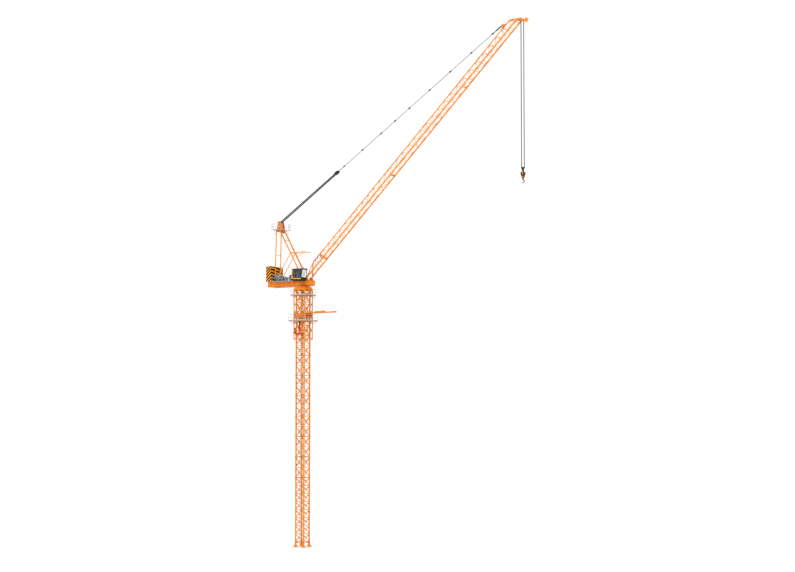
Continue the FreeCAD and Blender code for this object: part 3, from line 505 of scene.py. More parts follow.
def turned(profile, centre, axis, sides=32):
    """A shape turned on an axis: point (i, k) is centre + along_i * axis + radius_i * (cos a_k * u +
    sin a_k * v) for the profile's pairs (along, radius). The end rings are closed by flat faces, or joined
    where the profile comes back to its start; a pair with radius 0 only says that the end is closed."""
    profile = np.asarray(profile, float)
    profile = profile[profile[:, 1] > 0]
    loop = np.allclose(profile[0], profile[-1])
    profile = profile[:-1] if loop else profile
    axis = np.asarray(axis, float) / np.linalg.norm(axis)
    helper = np.array([1.0, 0, 0]) if abs(axis[2]) > UPRIGHT else np.array([0, 0, 1.0])
    u = np.cross(helper, axis)
    u /= np.linalg.norm(u)
    v = np.cross(axis, u)
    turn = np.arange(sides) * 2 * np.pi / sides
    circle = np.cos(turn)[:, None] * u + np.sin(turn)[:, None] * v
    points = np.asarray(centre, float) + profile[:, 0, None, None] * axis + profile[:, 1, None, None] * circle
    total = len(profile) * sides
    i = np.arange(len(profile) - (0 if loop else 1))[:, None] * sides
    j = (i + sides) % total
    k = np.arange(sides)[None]
    n = (k + 1) % sides
    walls = list(np.stack([i + k, i + n, j + n, j + k], axis=2).reshape(-1, 4))
    caps = [] if loop else [k[0, ::-1], k[0] + total - sides]
    return points.reshape(-1, 3), walls + caps


print("a turned tube of two rings has", len(turned([[0, 1], [1, 1]], [0, 0, 0], [0, 0, 1])[1]), "faces")

# %% Climbing cylinder barrel and hydraulic pack
ram_low, ram_high = corners(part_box("climbing_cylinder"))
ram_x, ram_y = ((ram_low + ram_high) / 2)[:2]
foot_gland, tube, head_gland = 0.019, 0.016, 0.020
barrel_profile = [[0, 0], [0, foot_gland], [0.012, foot_gland], [0.012, tube], [0.150, tube],
                  [0.150, head_gland], [0.165, head_gland], [0.165, 0]]
barrel = turned(barrel_profile, [ram_x, ram_y, ram_high[2] - 0.175], [0, 0, 1], sides=28)
finish_piece("cylinder_barrel", *barrel, red, "mast", "red_paint")
pump_lows = [[-0.118, -0.116, 3.862], [-0.114, -0.112, 3.945]]
pump_highs = [[-0.088, -0.062, 3.945], [-0.096, -0.080, 3.975]]
finish_piece("hydraulic_pack", *boxes(pump_lows, pump_highs), red, "mast", "red_paint", bevel=0.002)

# %% [markdown]
# ## The cage's portal
# Between the work platform and the loading beam the cage has a deep portal of beams on its three closed
# sides. Each side is two flanges with close posts and diagonals between them, which from far off read as
# one solid band.

# %% Portal beams
portal_low = 4.160
portal_high = 4.240
portal_half = HALF_CAGE - 0.007
flange_half = 0.006
portal_bays = 12
even_bay = (np.arange(portal_bays) % 2 == 0)[:, None]
post_at = np.linspace(-portal_half, portal_half, portal_bays + 1)
portal = []
for along, out, offset in (([1, 0, 0], [0, 1, 0], -HALF_CAGE), ([1, 0, 0], [0, 1, 0], HALF_CAGE),
                           ([0, 1, 0], [1, 0, 0], -HALF_CAGE)):
    along, out = np.array(along), np.array(out)
    for z in (portal_low + flange_half, portal_high - flange_half):
        half = along * portal_half + out * 0.008 + np.array([0, 0, flange_half])
        middle = offset * out + [0, 0, z]
        portal.append(boxes([middle - half], [middle + half]))
    post_low = offset * out + post_at[:, None] * along + [0, 0, portal_low]
    post_high = offset * out + post_at[:, None] * along + [0, 0, portal_high]
    portal.append(struts(post_low, post_high, radius=0.0045, sides=4))
    brace_start = np.where(even_bay, post_low[:-1], post_high[:-1])
    brace_end = np.where(even_bay, post_high[1:], post_low[1:])
    portal.append(struts(brace_start, brace_end, radius=0.0040, sides=4))
finish_piece("portal_beams", *merged(*portal), orange, "mast", "orange_paint")

# %% [markdown]
# ## Toe boards
# A work platform has a toe board round its edge, so that a dropped bolt stays up there. Four thin upright
# boxes round a square make one, for each of the two platforms.

# %% Toe boards
board_height = 0.012
board_thick = 0.002


def toe_boards(half, z):
    """Four thin upright boards round a square of half-width half, standing on height z."""
    inner = half - board_thick
    top = z + board_height
    lows = [[-half, -half, z], [-half, inner, z], [-half, -half, z], [inner, -half, z]]
    highs = [[half, -inner, top], [half, half, top], [-inner, half, top], [half, half, top]]
    return boxes(lows, highs)


boards = merged(toe_boards(half=0.1945, z=4.106), toe_boards(half=0.172, z=4.576))
finish_piece("toe_boards", *boards, galvanised, "mast", "galvanised_steel")

# %% [markdown]
# ## The loading beam's side plates, and the basket over it
# The beam that carries new mast sections is a plated box with an end stop. The upper platform has a small
# orange basket over it for the fitter. The basket is three level rings of bars and five posts.

# %% Loading beam's side plates and end stop
beam_low, beam_high = corners(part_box("loading_beam"))
plate_z = beam_low[2] + 0.001
plate_x = beam_high[0] - 0.006
plate_lows = [[0.125, -0.0375, plate_z], [0.125, 0.0345, plate_z], [beam_high[0] - 0.012, -0.034, plate_z]]
plate_highs = [[plate_x, -0.0345, beam_high[2] + 0.006], [plate_x, 0.0375, beam_high[2] + 0.006],
               [beam_high[0] - 0.004, 0.034, beam_high[2] + 0.010]]
finish_piece("beam_side_plates", *boxes(plate_lows, plate_highs), orange, "mast", "orange_paint")

# %% Loading basket
basket_in, basket_out, basket_half = 0.128, 0.168, 0.062
basket_plan = [[basket_in, -basket_half], [basket_out, -basket_half], [basket_out, basket_half],
               [basket_in, basket_half]]
basket_rings = [at_height(basket_plan, z) for z in (4.60, 4.635, 4.67)]
basket_post_plan = [[basket_out, y] for y in np.linspace(-basket_half, basket_half, 5)]
basket_turned = [np.roll(ring, -1, axis=0) for ring in basket_rings]
basket_starts = np.vstack([*basket_rings, at_height(basket_post_plan, 4.577)])
basket_ends = np.vstack([*basket_turned, at_height(basket_post_plan, 4.672)])
basket = struts(basket_starts, basket_ends, radius=0.0024)
finish_piece("loading_basket", *basket, orange, "mast", "orange_paint")

# %% [markdown]
# ## Slewing drives and ring bolts
# Two red geared motors hang inside the top section and turn the ring. The ring is held to its support by a
# close circle of bolts, easy to set out with one angle array.

# %% Slewing drives
drive_profile = [[-0.075, 0], [-0.075, 0.010], [-0.05, 0.0125], [-0.048, 0.0155], [-0.01, 0.0155],
                 [-0.008, 0.02], [0.0, 0.02], [0.0, 0]]
drive_out = 0.045
drive_z = 4.664
drives = [turned(drive_profile, [x, -x, drive_z], [0, 0, 1], sides=24) for x in (drive_out, -drive_out)]
finish_piece("slewing_drives", *merged(*drives), red, "mast", "red_paint")

# %% Ring bolts
ring_radius = 0.103
ring_count = 36
ring_turn = np.arange(ring_count) * 2 * np.pi / ring_count
ring_xy = np.column_stack([np.cos(ring_turn), np.sin(ring_turn)]) * ring_radius
ring_bolts = struts(at_height(ring_xy, 4.724), at_height(ring_xy, 4.731), radius=0.0028)
finish_piece("ring_bolts", *ring_bolts, galvanised, "mast", "galvanised_steel")

# %% [markdown]
# ## Handrails on the deck
# The walkways beside the machinery have posts and two rails of thin tube. Posts stand on a regular pitch;
# the rails run the length.

# %% Deck handrails
rail_rear = -0.600
rail_heights = (0.055, 0.105)
rail_starts = []
rail_ends = []
for y, front in ((-0.167, -0.095), (0.167, 0.125)):
    for x in np.linspace(rail_rear, front, 7):
        rail_starts.append([x, y, DECK_TOP])
        rail_ends.append([x, y, DECK_TOP + rail_heights[-1]])
    for height in rail_heights:
        rail_starts.append([rail_rear, y, DECK_TOP + height])
        rail_ends.append([front, y, DECK_TOP + height])
finish_piece("deck_handrails", *struts(rail_starts, rail_ends, radius=0.0016), galvanised, "upperworks",
             "galvanised_steel")

# %% [markdown]
# ## Rope on the drums, and motor fins
# A drum full of rope is a ribbed cylinder: the radius rises and falls once for each turn of rope. Motors
# have cooling fins, which are the same idea with square ribs.

# %% Rope on the winch drums
HOIST_X, HOIST_Z = -0.235, DECK_TOP + 0.058
LUFFING_X, LUFFING_Z = -0.430, DECK_TOP + 0.048
rope_width = 0.004


def rope_layer(centre, half_length, drum_radius, turns):
    """A drum's rope: radius = drum + rope * (0.5 - 0.5 cos(2 pi * turns * t)) over t from 0 to 1."""
    t = np.linspace(0, 1, turns * 6 + 1)
    radius = drum_radius + rope_width * (0.5 - 0.5 * np.cos(2 * np.pi * turns * t))
    return turned(np.column_stack([-half_length + 2 * half_length * t, radius]), centre, [0, 1, 0], sides=40)


drum_rope = merged(rope_layer([HOIST_X, 0.0, HOIST_Z], half_length=0.0455, drum_radius=0.044, turns=16),
                   rope_layer([LUFFING_X, 0.0, LUFFING_Z], half_length=0.0405, drum_radius=0.034, turns=14))
finish_piece("rope_on_drums", *drum_rope, rope_steel, "upperworks", "wire_rope")

# %% Motor fins
fin_count = 7
motor_length = 0.023


def finned_motor(centre, radius):
    """A motor: its radius steps out to 1.12 and in to 0.98 of its own once for each fin."""
    along = np.repeat(np.linspace(0, motor_length, 2 * fin_count + 1), 2)[1:-1]
    steps = np.repeat(np.tile([radius * 1.12, radius * 0.98], fin_count), 2)
    return turned(np.column_stack([along, steps]), centre, [0, -1, 0], sides=28)


motors = merged(finned_motor([HOIST_X, -0.060, HOIST_Z], radius=0.0264),
                finned_motor([LUFFING_X, -0.055, LUFFING_Z], radius=0.0204))
finish_piece("motor_fins", *motors, light_grey, "upperworks", "grey_paint")

# %% [markdown]
# ## Cabinet doors, the oil cooler's grille and the hoses
# The power cabinet has two doors towards the winches and louvres on its side, as thin boxes. The cooler's
# grille is a few rings, each a small square profile turned on its own axis. Hoses sag in a half sine.

# %% Cabinet doors and louvres
cabinet_x = -0.583
door_x = cabinet_x + 0.0595
door_y = np.array([-0.061, 0.003])
door_low = np.column_stack([np.full(2, door_x), door_y, np.full(2, DECK_TOP + 0.008)])
doors = boxes(door_low, door_low + [0.003, 0.058, 0.080])
louvre_z = np.arange(DECK_TOP + 0.02, DECK_TOP + 0.075, 0.006)
louvre_low = at_height(np.tile([[cabinet_x + 0.008, -0.0672]], (len(louvre_z), 1)), louvre_z)
louvres = boxes(louvre_low, louvre_low + [0.044, 0.0035, 0.0028])
finish_piece("cabinet_doors", *merged(doors, louvres), light_grey, "upperworks", "grey_paint")

# %% Cooler grille
grille_centre = [-0.128, -0.0355, DECK_TOP + 0.032]
wire_half, wire_deep = 0.0012, 0.002
wire_section = np.array([[0, -wire_half], [wire_deep, -wire_half], [wire_deep, wire_half], [0, wire_half],
                         [0, -wire_half]])
grille = [turned(wire_section + [0, radius], grille_centre, [0, -1, 0], sides=28)
          for radius in (0.006, 0.011, 0.016, 0.0205)]
finish_piece("cooler_grille", *merged(*grille), black, "upperworks", "black_paint")

# %% Machine hoses
hose_t = np.linspace(0, 1, 24)
hose_bow = np.sin(np.pi * hose_t)
hoses = []
for y, lift in ((-0.02, 0.02), (0.0, 0.028), (0.02, 0.016)):
    path = np.column_stack([-0.515 + 0.045 * hose_t, y + 0.01 * hose_bow,
                            DECK_TOP + 0.03 + lift * hose_bow - 0.012 * hose_t])
    hoses.append(struts(path[:-1], path[1:], radius=0.0026, sides=8))
finish_piece("machine_hoses", *merged(*hoses), rubber, "upperworks", "black_paint")

# %% [markdown]
# ## The switchgear box
# A tall grey box with a lid covers the near half of the power cabinet. Its louvres and two doors are plates
# that stand a little proud of it, so they catch their own light.

# %% Switchgear box
box_left, box_right, box_near, box_far = -0.594, -0.497, -0.090, -0.012
box_top = DECK_TOP + 0.126
lid_over = 0.003
switchgear = boxes(
    [[box_left, box_near, DECK_TOP + 0.004], [box_left - lid_over, box_near - lid_over, box_top]],
    [[box_right, box_far, box_top], [box_right + lid_over, box_far + lid_over, box_top + 0.005]])
finish_piece("switchgear_box", *switchgear, light_grey, "upperworks", "grey_paint", bevel=0.0015)

# %% Switchgear louvres and doors
slat_z = np.arange(DECK_TOP + 0.075, box_top - 0.008, 0.0075)
slat_low = at_height(np.tile([[-0.585, box_near - 0.0025]], (len(slat_z), 1)), slat_z)
slats = boxes(slat_low, slat_low + [0.079, 0.003, 0.003])
door_near, door_far = box_near - 0.0015, box_near + 0.0005
door_foot, door_head = DECK_TOP + 0.010, DECK_TOP + 0.070
small_doors = boxes([[-0.590, door_near, door_foot], [-0.546, door_near, door_foot]],
                    [[-0.548, door_far, door_head], [-0.501, door_far, door_head]])
finish_piece("switchgear_louvres", *merged(slats, small_doors), grey, "upperworks", "grey_paint")

# %% [markdown]
# ## Brakes, gear housings and rope guards
# Each winch has a disc brake on its near end, a gear housing beside it and a cage of thin bars that keeps
# the rope on its drum. A brake is a turned disc on a block; a guard is four arcs joined by three bars.

# %% Winch brakes
brakes = []
for x, z, radius in ((LUFFING_X, LUFFING_Z, 0.030), (HOIST_X, HOIST_Z, 0.040)):
    rim = radius * 0.8
    disc = [[0.076, 0], [0.076, rim], [0.080, radius], [0.088, radius], [0.092, rim], [0.092, 0]]
    brakes.append(turned(disc, [x, 0, z], [0, -1, 0], sides=32))
    brakes.append(boxes([[x - radius * 0.7, -0.090, DECK_TOP + 0.002], [x - 0.016, -0.094, z + radius * 0.6]],
                        [[x + radius * 0.7, -0.078, z], [x + 0.016, -0.070, z + radius + 0.016]]))
finish_piece("winch_brakes", *merged(*brakes), grey, "upperworks", "grey_paint", bevel=0.0015)

# %% Gear housings
gear_y = -0.064
housings = []
for x, height in ((-0.345, 0.070), (-0.165, 0.092)):
    lid = DECK_TOP + height
    shaft_z = DECK_TOP + height * 0.5
    housings.append(boxes([x - 0.024, gear_y - 0.024, DECK_TOP + 0.002], [x + 0.020, gear_y + 0.024, lid]))
    housings.append(struts([x, gear_y, lid], [x, gear_y, lid + 0.016], radius=0.012, sides=16))
    shaft_near, shaft_far = [x - 0.026, gear_y, shaft_z], [x + 0.024, gear_y, shaft_z]
    housings.append(struts(shaft_near, shaft_far, radius=0.017, sides=20))
finish_piece("gear_housings", *merged(*housings), grey, "upperworks", "grey_paint", bevel=0.002)

# %% Rope guards
guard_half = 0.050
guard_turn = np.linspace(0.15, np.pi - 0.15, 11)
guards = []
for x, z, radius in ((LUFFING_X, LUFFING_Z, 0.050), (HOIST_X, HOIST_Z, 0.062)):
    arc_x = x + radius * np.cos(guard_turn)
    arc_z = z + radius * np.sin(guard_turn)
    for y in (-guard_half, -0.017, 0.017, guard_half):
        arc = np.column_stack([arc_x, np.full(len(arc_x), y), arc_z])
        guards.append(struts(arc[:-1], arc[1:], radius=0.0017))
    bar = np.column_stack([arc_x, np.full(len(arc_x), -guard_half), arc_z])[[2, 5, 8]]
    guards.append(struts(bar, bar + [0, 2 * guard_half, 0], radius=0.0015))
    leg = np.array([[arc_x[end], y, DECK_TOP] for end in (0, -1) for y in (-guard_half, guard_half)])
    guards.append(struts(leg, leg + [0, 0, arc_z[0] - DECK_TOP], radius=0.0017))
finish_piece("rope_guards", *merged(*guards), rubber, "upperworks", "black_paint")

# %% [markdown]
# ## Girder flanges and ribs on the deck
# The deck's two main girders are I-beams: a flange stands out along the bottom edge and upright ribs stiffen
# the web. Thin plates on the CAD girder's outer face give it that relief.

# %% Girder flanges
deck_low, deck_high = corners(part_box("slewing_deck"))
girder_y = 0.095
flange_out = 0.006
flange_top = deck_low[2] + 0.008
flange_end = deck_high[0] - 0.03
deck_rear, _, deck_floor = deck_low
# The bottom flanges get the red-orange, not the deck's orange: painted shade along the deck's underside.
painted_shade_girder_flanges = boxes([[deck_rear, -girder_y - flange_out, deck_floor], [deck_rear, girder_y, deck_floor]],
                       [[flange_end, -girder_y, flange_top], [flange_end, girder_y + flange_out, flange_top]])
finish_piece("painted_shade_girder_flanges", *painted_shade_girder_flanges, red_orange_and_flange_shade, "upperworks", "orange_paint")

# %% Girder ribs
rib_half, rib_out = 0.002, 0.0045
rib_x = np.linspace(deck_low[0] + 0.03, deck_high[0] - 0.05, 15)
rib_side = np.full(len(rib_x), -girder_y)
rib_low = np.column_stack([rib_x - rib_half, rib_side - rib_out, np.full(len(rib_x), flange_top)])
rib_high = np.column_stack([rib_x + rib_half, rib_side, np.full(len(rib_x), deck_low[2] + 0.080)])
to_far_side = [0, 2 * girder_y + rib_out, 0]
ribs = boxes(np.vstack([rib_low, rib_low + to_far_side]), np.vstack([rib_high, rib_high + to_far_side]))
finish_piece("girder_ribs", *ribs, orange, "upperworks", "orange_paint")

# %% [markdown]
# ## Counterweight fittings
# Each slab has two lifting eyes on top, bent from round bar: a half circle of short struts. Black edge
# angles protect the two upright edges that face the machinery.

# %% Lifting eyes
weight_low, weight_high = corners(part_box("counterweight"))
eye_turn = np.linspace(0, np.pi, 9)
eyes = []
for x in weight_low[0] + 0.0145 + 0.03 * np.arange(4):
    for y in (-0.11, 0.11):
        arc = np.column_stack([np.full(len(eye_turn), x), y + 0.009 * np.cos(eye_turn),
                               weight_high[2] - 0.013 + 0.012 * np.sin(eye_turn)])
        eyes.append(struts(arc[:-1], arc[1:], radius=0.0016))
finish_piece("slab_lifting_eyes", *merged(*eyes), galvanised, "upperworks", "galvanised_steel")

# %% Edge angles
angle_width = 0.004
weight_front, weight_far, weight_top = weight_high
_, weight_near, weight_floor = weight_low
angle_in, angle_out = weight_front - 0.001, weight_front + 0.003
angles = boxes([[angle_in, weight_near, weight_floor], [angle_in, weight_far - angle_width, weight_floor]],
               [[angle_out, weight_near + angle_width, weight_top], [angle_out, weight_far, weight_top]])
finish_piece("weight_edge_angles", *angles, black, "upperworks", "black_paint")

# %% [markdown]
# ## The operator's cab
# The cab is a dark blue shell with an orange trim that runs down its rear corner and along its sill, window
# rubbers, a wiper, a roof hatch and a seat behind the glass. Trim and rubbers are thin plates that stand a
# millimetre or two off the shell. Every place is measured from the shell's rear, near, bottom corner.

# %% Cab trim
CAB, cab_far_corner = corners(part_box("cab_shell"))
cab_length, _, cab_height = cab_far_corner - CAB
cab_width = 0.160
front_foot = 0.150 - CAB[0]
trim_proud = 0.0022
trim_turn = np.linspace(np.pi, 1.5 * np.pi, 8)


def quarter_round(x, z, radius):
    """A quarter circle of (x, z) that starts at x, z: x + radius * (1 + cos a), z + radius * sin a."""
    return np.column_stack([x + radius * (1 + np.cos(trim_turn)), z + radius * np.sin(trim_turn)])


def side_plate(outline, y_low, y_high):
    """A plate on the cab's side: the outline of (x, z) corners at two values of y, joined round the edge."""
    x, z = np.asarray(outline, float).T
    count = len(x)
    low = np.column_stack([x, np.full(count, y_low), z])
    high = np.column_stack([x, np.full(count, y_high), z])
    k = np.arange(count)
    n = (k + 1) % count
    walls = np.stack([k, k + count, n + count, n], axis=1)
    return CAB + np.concatenate([low, high]), list(walls) + [k, k[::-1] + count]


inner_x, outer_x = 0.024, 0.002
trim_top = cab_height - 0.002
trim_outline = np.vstack([[[inner_x, trim_top]], quarter_round(inner_x, z=0.058, radius=0.030),
                          [[front_foot - 0.002, 0.020], [front_foot - 0.004, 0.003]],
                          quarter_round(outer_x, z=0.050, radius=0.036)[::-1], [[outer_x, trim_top]]])
trim = side_plate(trim_outline, y_low=-trim_proud, y_high=0.001)
finish_piece("cab_trim", *trim, pale_orange, "upperworks", "orange_paint")

# %% Cab roof


def cab_boxes(lows, highs):
    """Boxes with their corners measured from the cab's rear, near, bottom corner."""
    return boxes(CAB + lows, CAB + highs)


roof = cab_boxes([-0.001, -0.001, cab_height - 0.001],
                 [cab_length + 0.004, cab_width + 0.001, cab_height + 0.004])
hatch = cab_boxes([0.03, 0.05, cab_height + 0.003], [0.09, 0.11, cab_height + 0.010])
finish_piece("cab_roof", *merged(roof, hatch), orange, "upperworks", "orange_paint", bevel=0.0015)

# %% [markdown]
# ## Window rubbers and the leaning front
# Black rubber holds each pane. On the two sides it is four bars round the window and a mullion. The front
# leans outward, so its frame, windscreen and chin are set out by a helper that follows the lean.

# %% Window rubbers
rubber_wide, rubber_thick = 0.004, 0.0026
left, right, sill, lintel = 0.030, 0.190, 0.050, 0.167
mullion = left + 0.062
rubber_low = np.array([[left - rubber_wide, sill - rubber_wide], [left - rubber_wide, lintel],
                       [left - rubber_wide, sill], [right, sill], [mullion, sill]])
rubber_high = np.array([[right + rubber_wide, sill], [right + rubber_wide, lintel + rubber_wide],
                        [left, lintel], [right + rubber_wide, lintel], [mullion + 0.005, lintel]])
rubbers = [cab_boxes(np.insert(rubber_low, 1, y, axis=1), np.insert(rubber_high, 1, y + rubber_thick, axis=1))
           for y in (-0.0016, cab_width - 0.0010)]
finish_piece("window_rubbers", *merged(*rubbers), rubber, "upperworks", "black_paint")

# %% Front window frame and wiper
front_slope = 0.035 / 0.197


def on_front(y, z, proud=0.0):
    """A place on the cab's leaning front: x is the front's foot + slope * z + how far it stands proud."""
    y, z, proud = np.broadcast_arrays(y, z, proud)
    return CAB + np.stack([front_foot + front_slope * z + proud, y, z], axis=-1)


pillar = on_front([0.008, 0.008, 0.146, 0.146], [0.038, 0.176, 0.038, 0.176])
front_frame = struts(pillar[[0, 2, 0, 1]], pillar[[1, 3, 2, 3]], radius=0.0032)
wiper_foot = CAB + [front_foot + 0.012, 0.080, 0.045]
wiper_tip = CAB + [front_foot + 0.032, 0.055, 0.135]
wiper = struts(wiper_foot, wiper_tip, radius=0.0014)
finish_piece("front_window_frame", *merged(front_frame, wiper), rubber, "upperworks", "black_paint")

# %% Windscreen, chin and guard bar


def front_plate(low, high, inset, proud_in, proud_out):
    """A plate on the leaning front, from height low to high, between two distances proud of it."""
    z = [low, low, high, high]
    y = [inset, cab_width - inset, cab_width - inset, inset]
    k = np.arange(4)
    walls = np.stack([k, (k + 1) % 4, (k + 1) % 4 + 4, k + 4], axis=1)
    points = np.concatenate([on_front(y, z, proud_in), on_front(y, z, proud_out)])
    return points, list(walls) + [k[::-1], k + 4]


# The windscreen is an opaque plate in the pale sky-blue coat: a painted reflection of the sky.
screen = front_plate(low=0.040, high=0.174, inset=0.011, proud_in=0.0003, proud_out=0.0013)
finish_piece("cab_windscreen", *screen, painted_sky_windscreen, "upperworks", "cab_glass")
chin = front_plate(low=0.001, high=0.036, inset=0.001, proud_in=0.0, proud_out=0.0020)
finish_piece("cab_chin", *chin, rubber, "upperworks", "cab_paint", bevel=0.0008)
guard_ends = on_front([0.035, 0.120], [0.050, 0.165], proud=0.003)
guard_bar = struts(guard_ends[0], guard_ends[1], radius=0.0026)
finish_piece("windscreen_guard", *guard_bar, orange, "upperworks", "orange_paint")

# %% [markdown]
# ## The cab's fittings
# A grab handle by the door, a rail round the roof, two work lamps under the front edge and the seams between
# the shell's panels. Tubes are struts; a lamp is a turned cup; a seam is a black strip less than a millimetre
# proud.

# %% Door handle and roof rail
pull = CAB + np.array([[0.013, -0.009, 0.062], [0.013, -0.009, 0.125]])
handle = struts(pull[[0, 0, 1]], [pull[1], *(pull + [0, 0.009, 0])], radius=0.0016, sides=8)
rail_front = front_foot + 0.018
rail_plan = [[0.012, 0.012], [rail_front, 0.012], [rail_front, 0.148], [0.012, 0.148]]
rail_ring = CAB + at_height(rail_plan, cab_height + 0.034)
roof_rail = struts(rail_ring, np.roll(rail_ring, -1, axis=0), radius=0.0014, sides=8)
rail_legs = struts(rail_ring, rail_ring - [0, 0, 0.031], radius=0.0014, sides=8)
finish_piece("cab_handle_and_roof_rail", *merged(handle, roof_rail, rail_legs), galvanised, "upperworks",
             "galvanised_steel")

# %% Work lamps and panel seams
lamp_profile = [[0, 0], [0, 0.006], [0.010, 0.009], [0.012, 0.009], [0.012, 0]]
lamps = [turned(lamp_profile, CAB + [front_foot + 0.030, y, cab_height - 0.010], [1, 0, -0.3], sides=20)
         for y in (0.026, 0.134)]
finish_piece("cab_work_lamps", *merged(*lamps), black, "upperworks", "black_paint")
seams = cab_boxes([[0.097, -0.0007, 0.036], [0.026, -0.0007, 0.182]],
                  [[0.0985, 0.001, 0.047], [front_foot + 0.028, 0.001, 0.1835]])
finish_piece("cab_panel_seams", *seams, rubber, "upperworks", "black_paint")

# %% [markdown]
# ## Inside the cab
# Through the glass one sees a black seat with an orange headrest, a console on each side, a dark lining
# behind them and a white blind at the back. Boxes with soft edges are enough behind tinted glass.

# %% Seat
seat_x = 0.098
seat_y = cab_width / 2
cushion = cab_boxes([seat_x, seat_y - 0.024, 0.046], [seat_x + 0.046, seat_y + 0.024, 0.058])
backrest = cab_boxes([seat_x - 0.010, seat_y - 0.022, 0.058], [seat_x + 0.002, seat_y + 0.022, 0.118])
pedestal = cab_boxes([seat_x + 0.012, seat_y - 0.010, 0.007], [seat_x + 0.032, seat_y + 0.010, 0.046])
seat = merged(cushion, backrest, pedestal)
finish_piece("operator_seat", *seat, black, "upperworks", "black_paint", bevel=0.003)
headrest = cab_boxes([[seat_x - 0.009, seat_y - 0.013, 0.120]], [[seat_x + 0.004, seat_y + 0.013, 0.142]])
finish_piece("seat_headrest", *headrest, orange, "upperworks", "orange_paint", bevel=0.004)

# %% Lining, blind and consoles
lining = cab_boxes([[0.010, 0.146, 0.045]], [[0.170, 0.150, 0.172]])
finish_piece("cab_far_lining", *lining, cab_blue, "upperworks", "cab_paint")
blind = cab_boxes([[0.009, 0.056, 0.045]], [[0.012, 0.112, 0.172]])
finish_piece("cab_rear_blind", *blind, blind_white, "upperworks", "cab_paint")
consoles = cab_boxes(
    [[seat_x, seat_y - 0.045, 0.007], [seat_x, seat_y + 0.029, 0.007], [seat_x + 0.07, seat_y - 0.02, 0.007]],
    [[seat_x + 0.05, seat_y - 0.029, 0.072], [seat_x + 0.05, seat_y + 0.045, 0.072],
     [seat_x + 0.08, seat_y + 0.02, 0.08]])
finish_piece("control_consoles", *consoles, light_grey, "upperworks", "grey_paint", bevel=0.003)

# %% [markdown]
# ## The ladder up the A-frame
# A caged ladder follows the far front leg up to the head platforms. The cage's hoops are half circles set
# square to the ladder, one grid of points for each hoop.

# %% Places beside the front leg
leg_foot = np.array([0.061, DECK_TOP])
leg_top = np.array([-0.475, 5.770])
leg_length = np.linalg.norm(leg_top - leg_foot)
leg_way = (leg_top - leg_foot) / leg_length
leg_front = np.array([leg_way[1], -leg_way[0]])


def up_leg(distance, away, y):
    """A place by the front leg: foot + distance * leg direction + away * the direction in front of it."""
    distance, away, y = np.broadcast_arrays(distance, away, y)
    x, z = leg_foot[:, None] + np.outer(leg_way, distance) + np.outer(leg_front, away)
    return np.stack([x.reshape(y.shape), y, z.reshape(y.shape)], axis=-1)


print("front leg", round(leg_length, 3), "m")

# %% A-frame ladder
ladder_away = 0.020
ladder_y = 0.040
half_ladder = 0.018
stile_y = [ladder_y - half_ladder, ladder_y + half_ladder]
stiles = struts(up_leg(0.03, ladder_away, stile_y), up_leg(leg_length, ladder_away, stile_y), radius=0.0018)
rungs_at = np.arange(0.06, leg_length - 0.04, rung_pitch)
rung_near, rung_far = (up_leg(rungs_at, ladder_away, y) for y in stile_y)
rungs = struts(rung_near, rung_far, radius=0.0012, sides=5)
hoops_at = np.arange(0.25, leg_length - 0.05, 0.085)[:, None]
hoop_turn = np.linspace(0, np.pi, 9)
hoop = up_leg(hoops_at, ladder_away + 0.036 * np.sin(hoop_turn), ladder_y - 0.024 * np.cos(hoop_turn))
hoops = struts(hoop[:, :-1], hoop[:, 1:], radius=0.0011, sides=5)
hoop_ties = struts(hoop[:-1, 2::2], hoop[1:, 2::2], radius=0.0010, sides=5)
finish_piece("a_frame_ladder", *merged(stiles, rungs, hoops, hoop_ties), pale_orange, "upperworks",
             "orange_paint")

# %% [markdown]
# ## Sheaves, standing ropes and pins of the head
# Grooved sheaves sit on the head's two cross shafts, each a turned profile with a valley for the rope. The
# luffing rope climbs from its winch to the lower sheaves, and the hoist rope from its own winch beside it.
# Struts under the head platforms reach back to the legs, and each shaft ends in a cap.

# %% Head sheaves
groove = np.array([[-0.0055, 0], [-0.0055, 0.0245], [-0.0035, 0.0245], [-0.001, 0.0205], [0.001, 0.0205],
                   [0.0035, 0.0245], [0.0055, 0.0245], [0.0055, 0]])
head_shafts = np.array([[-0.473, 5.764], [-0.490, 5.874], [HEAD[0], HEAD[2]]])
sheaves = []
for (x, z), radius_share in zip(head_shafts, (0.9, 1.0)):
    for y in (-0.030, -0.012, 0.012, 0.030):
        sheaves.append(turned(groove * [1, radius_share], [x, y, z], [0, 1, 0], sides=32))
finish_piece("head_sheaves", *merged(*sheaves), red_orange_and_flange_shade, "upperworks", "red_paint")

# %% Winch ropes
drum_side = [[-0.464, 0.012, DECK_TOP + 0.055], [-0.279, -0.012, DECK_TOP + 0.06]]
sheave_side = [[-0.496, 0.012, 5.755], [-0.472, -0.012, 5.785]]
winch_ropes = struts(drum_side, sheave_side, radius=0.0013, sides=8)
finish_piece("winch_ropes", *winch_ropes, rope_steel, "upperworks", "wire_rope")

# %% Struts under the head platforms
leg_side, deck_side = 0.074, 0.148
strut_feet = [[x, sign * leg_side, 5.700] for x in (-0.567, -0.437) for sign in (-1, 1)]
strut_heads = [[x, sign * deck_side, 5.796] for x in (-0.585, -0.430) for sign in (-1, 1)]
platform_struts = struts(strut_feet, strut_heads, radius=0.0028)
finish_piece("head_platform_struts", *platform_struts, orange, "upperworks", "orange_paint")

# %% Pin caps
pin_half, cap_half = 0.060, 0.057
pin_middle = np.insert(head_shafts, 1, 0.0, axis=1)
pins = struts(pin_middle - [0, pin_half, 0], pin_middle + [0, pin_half, 0], radius=0.0065, sides=16)
caps = struts(pin_middle - [0, cap_half, 0], pin_middle + [0, cap_half, 0], radius=0.0105, sides=20)
finish_piece("head_pin_caps", *merged(pins, caps), black, "upperworks", "black_paint")

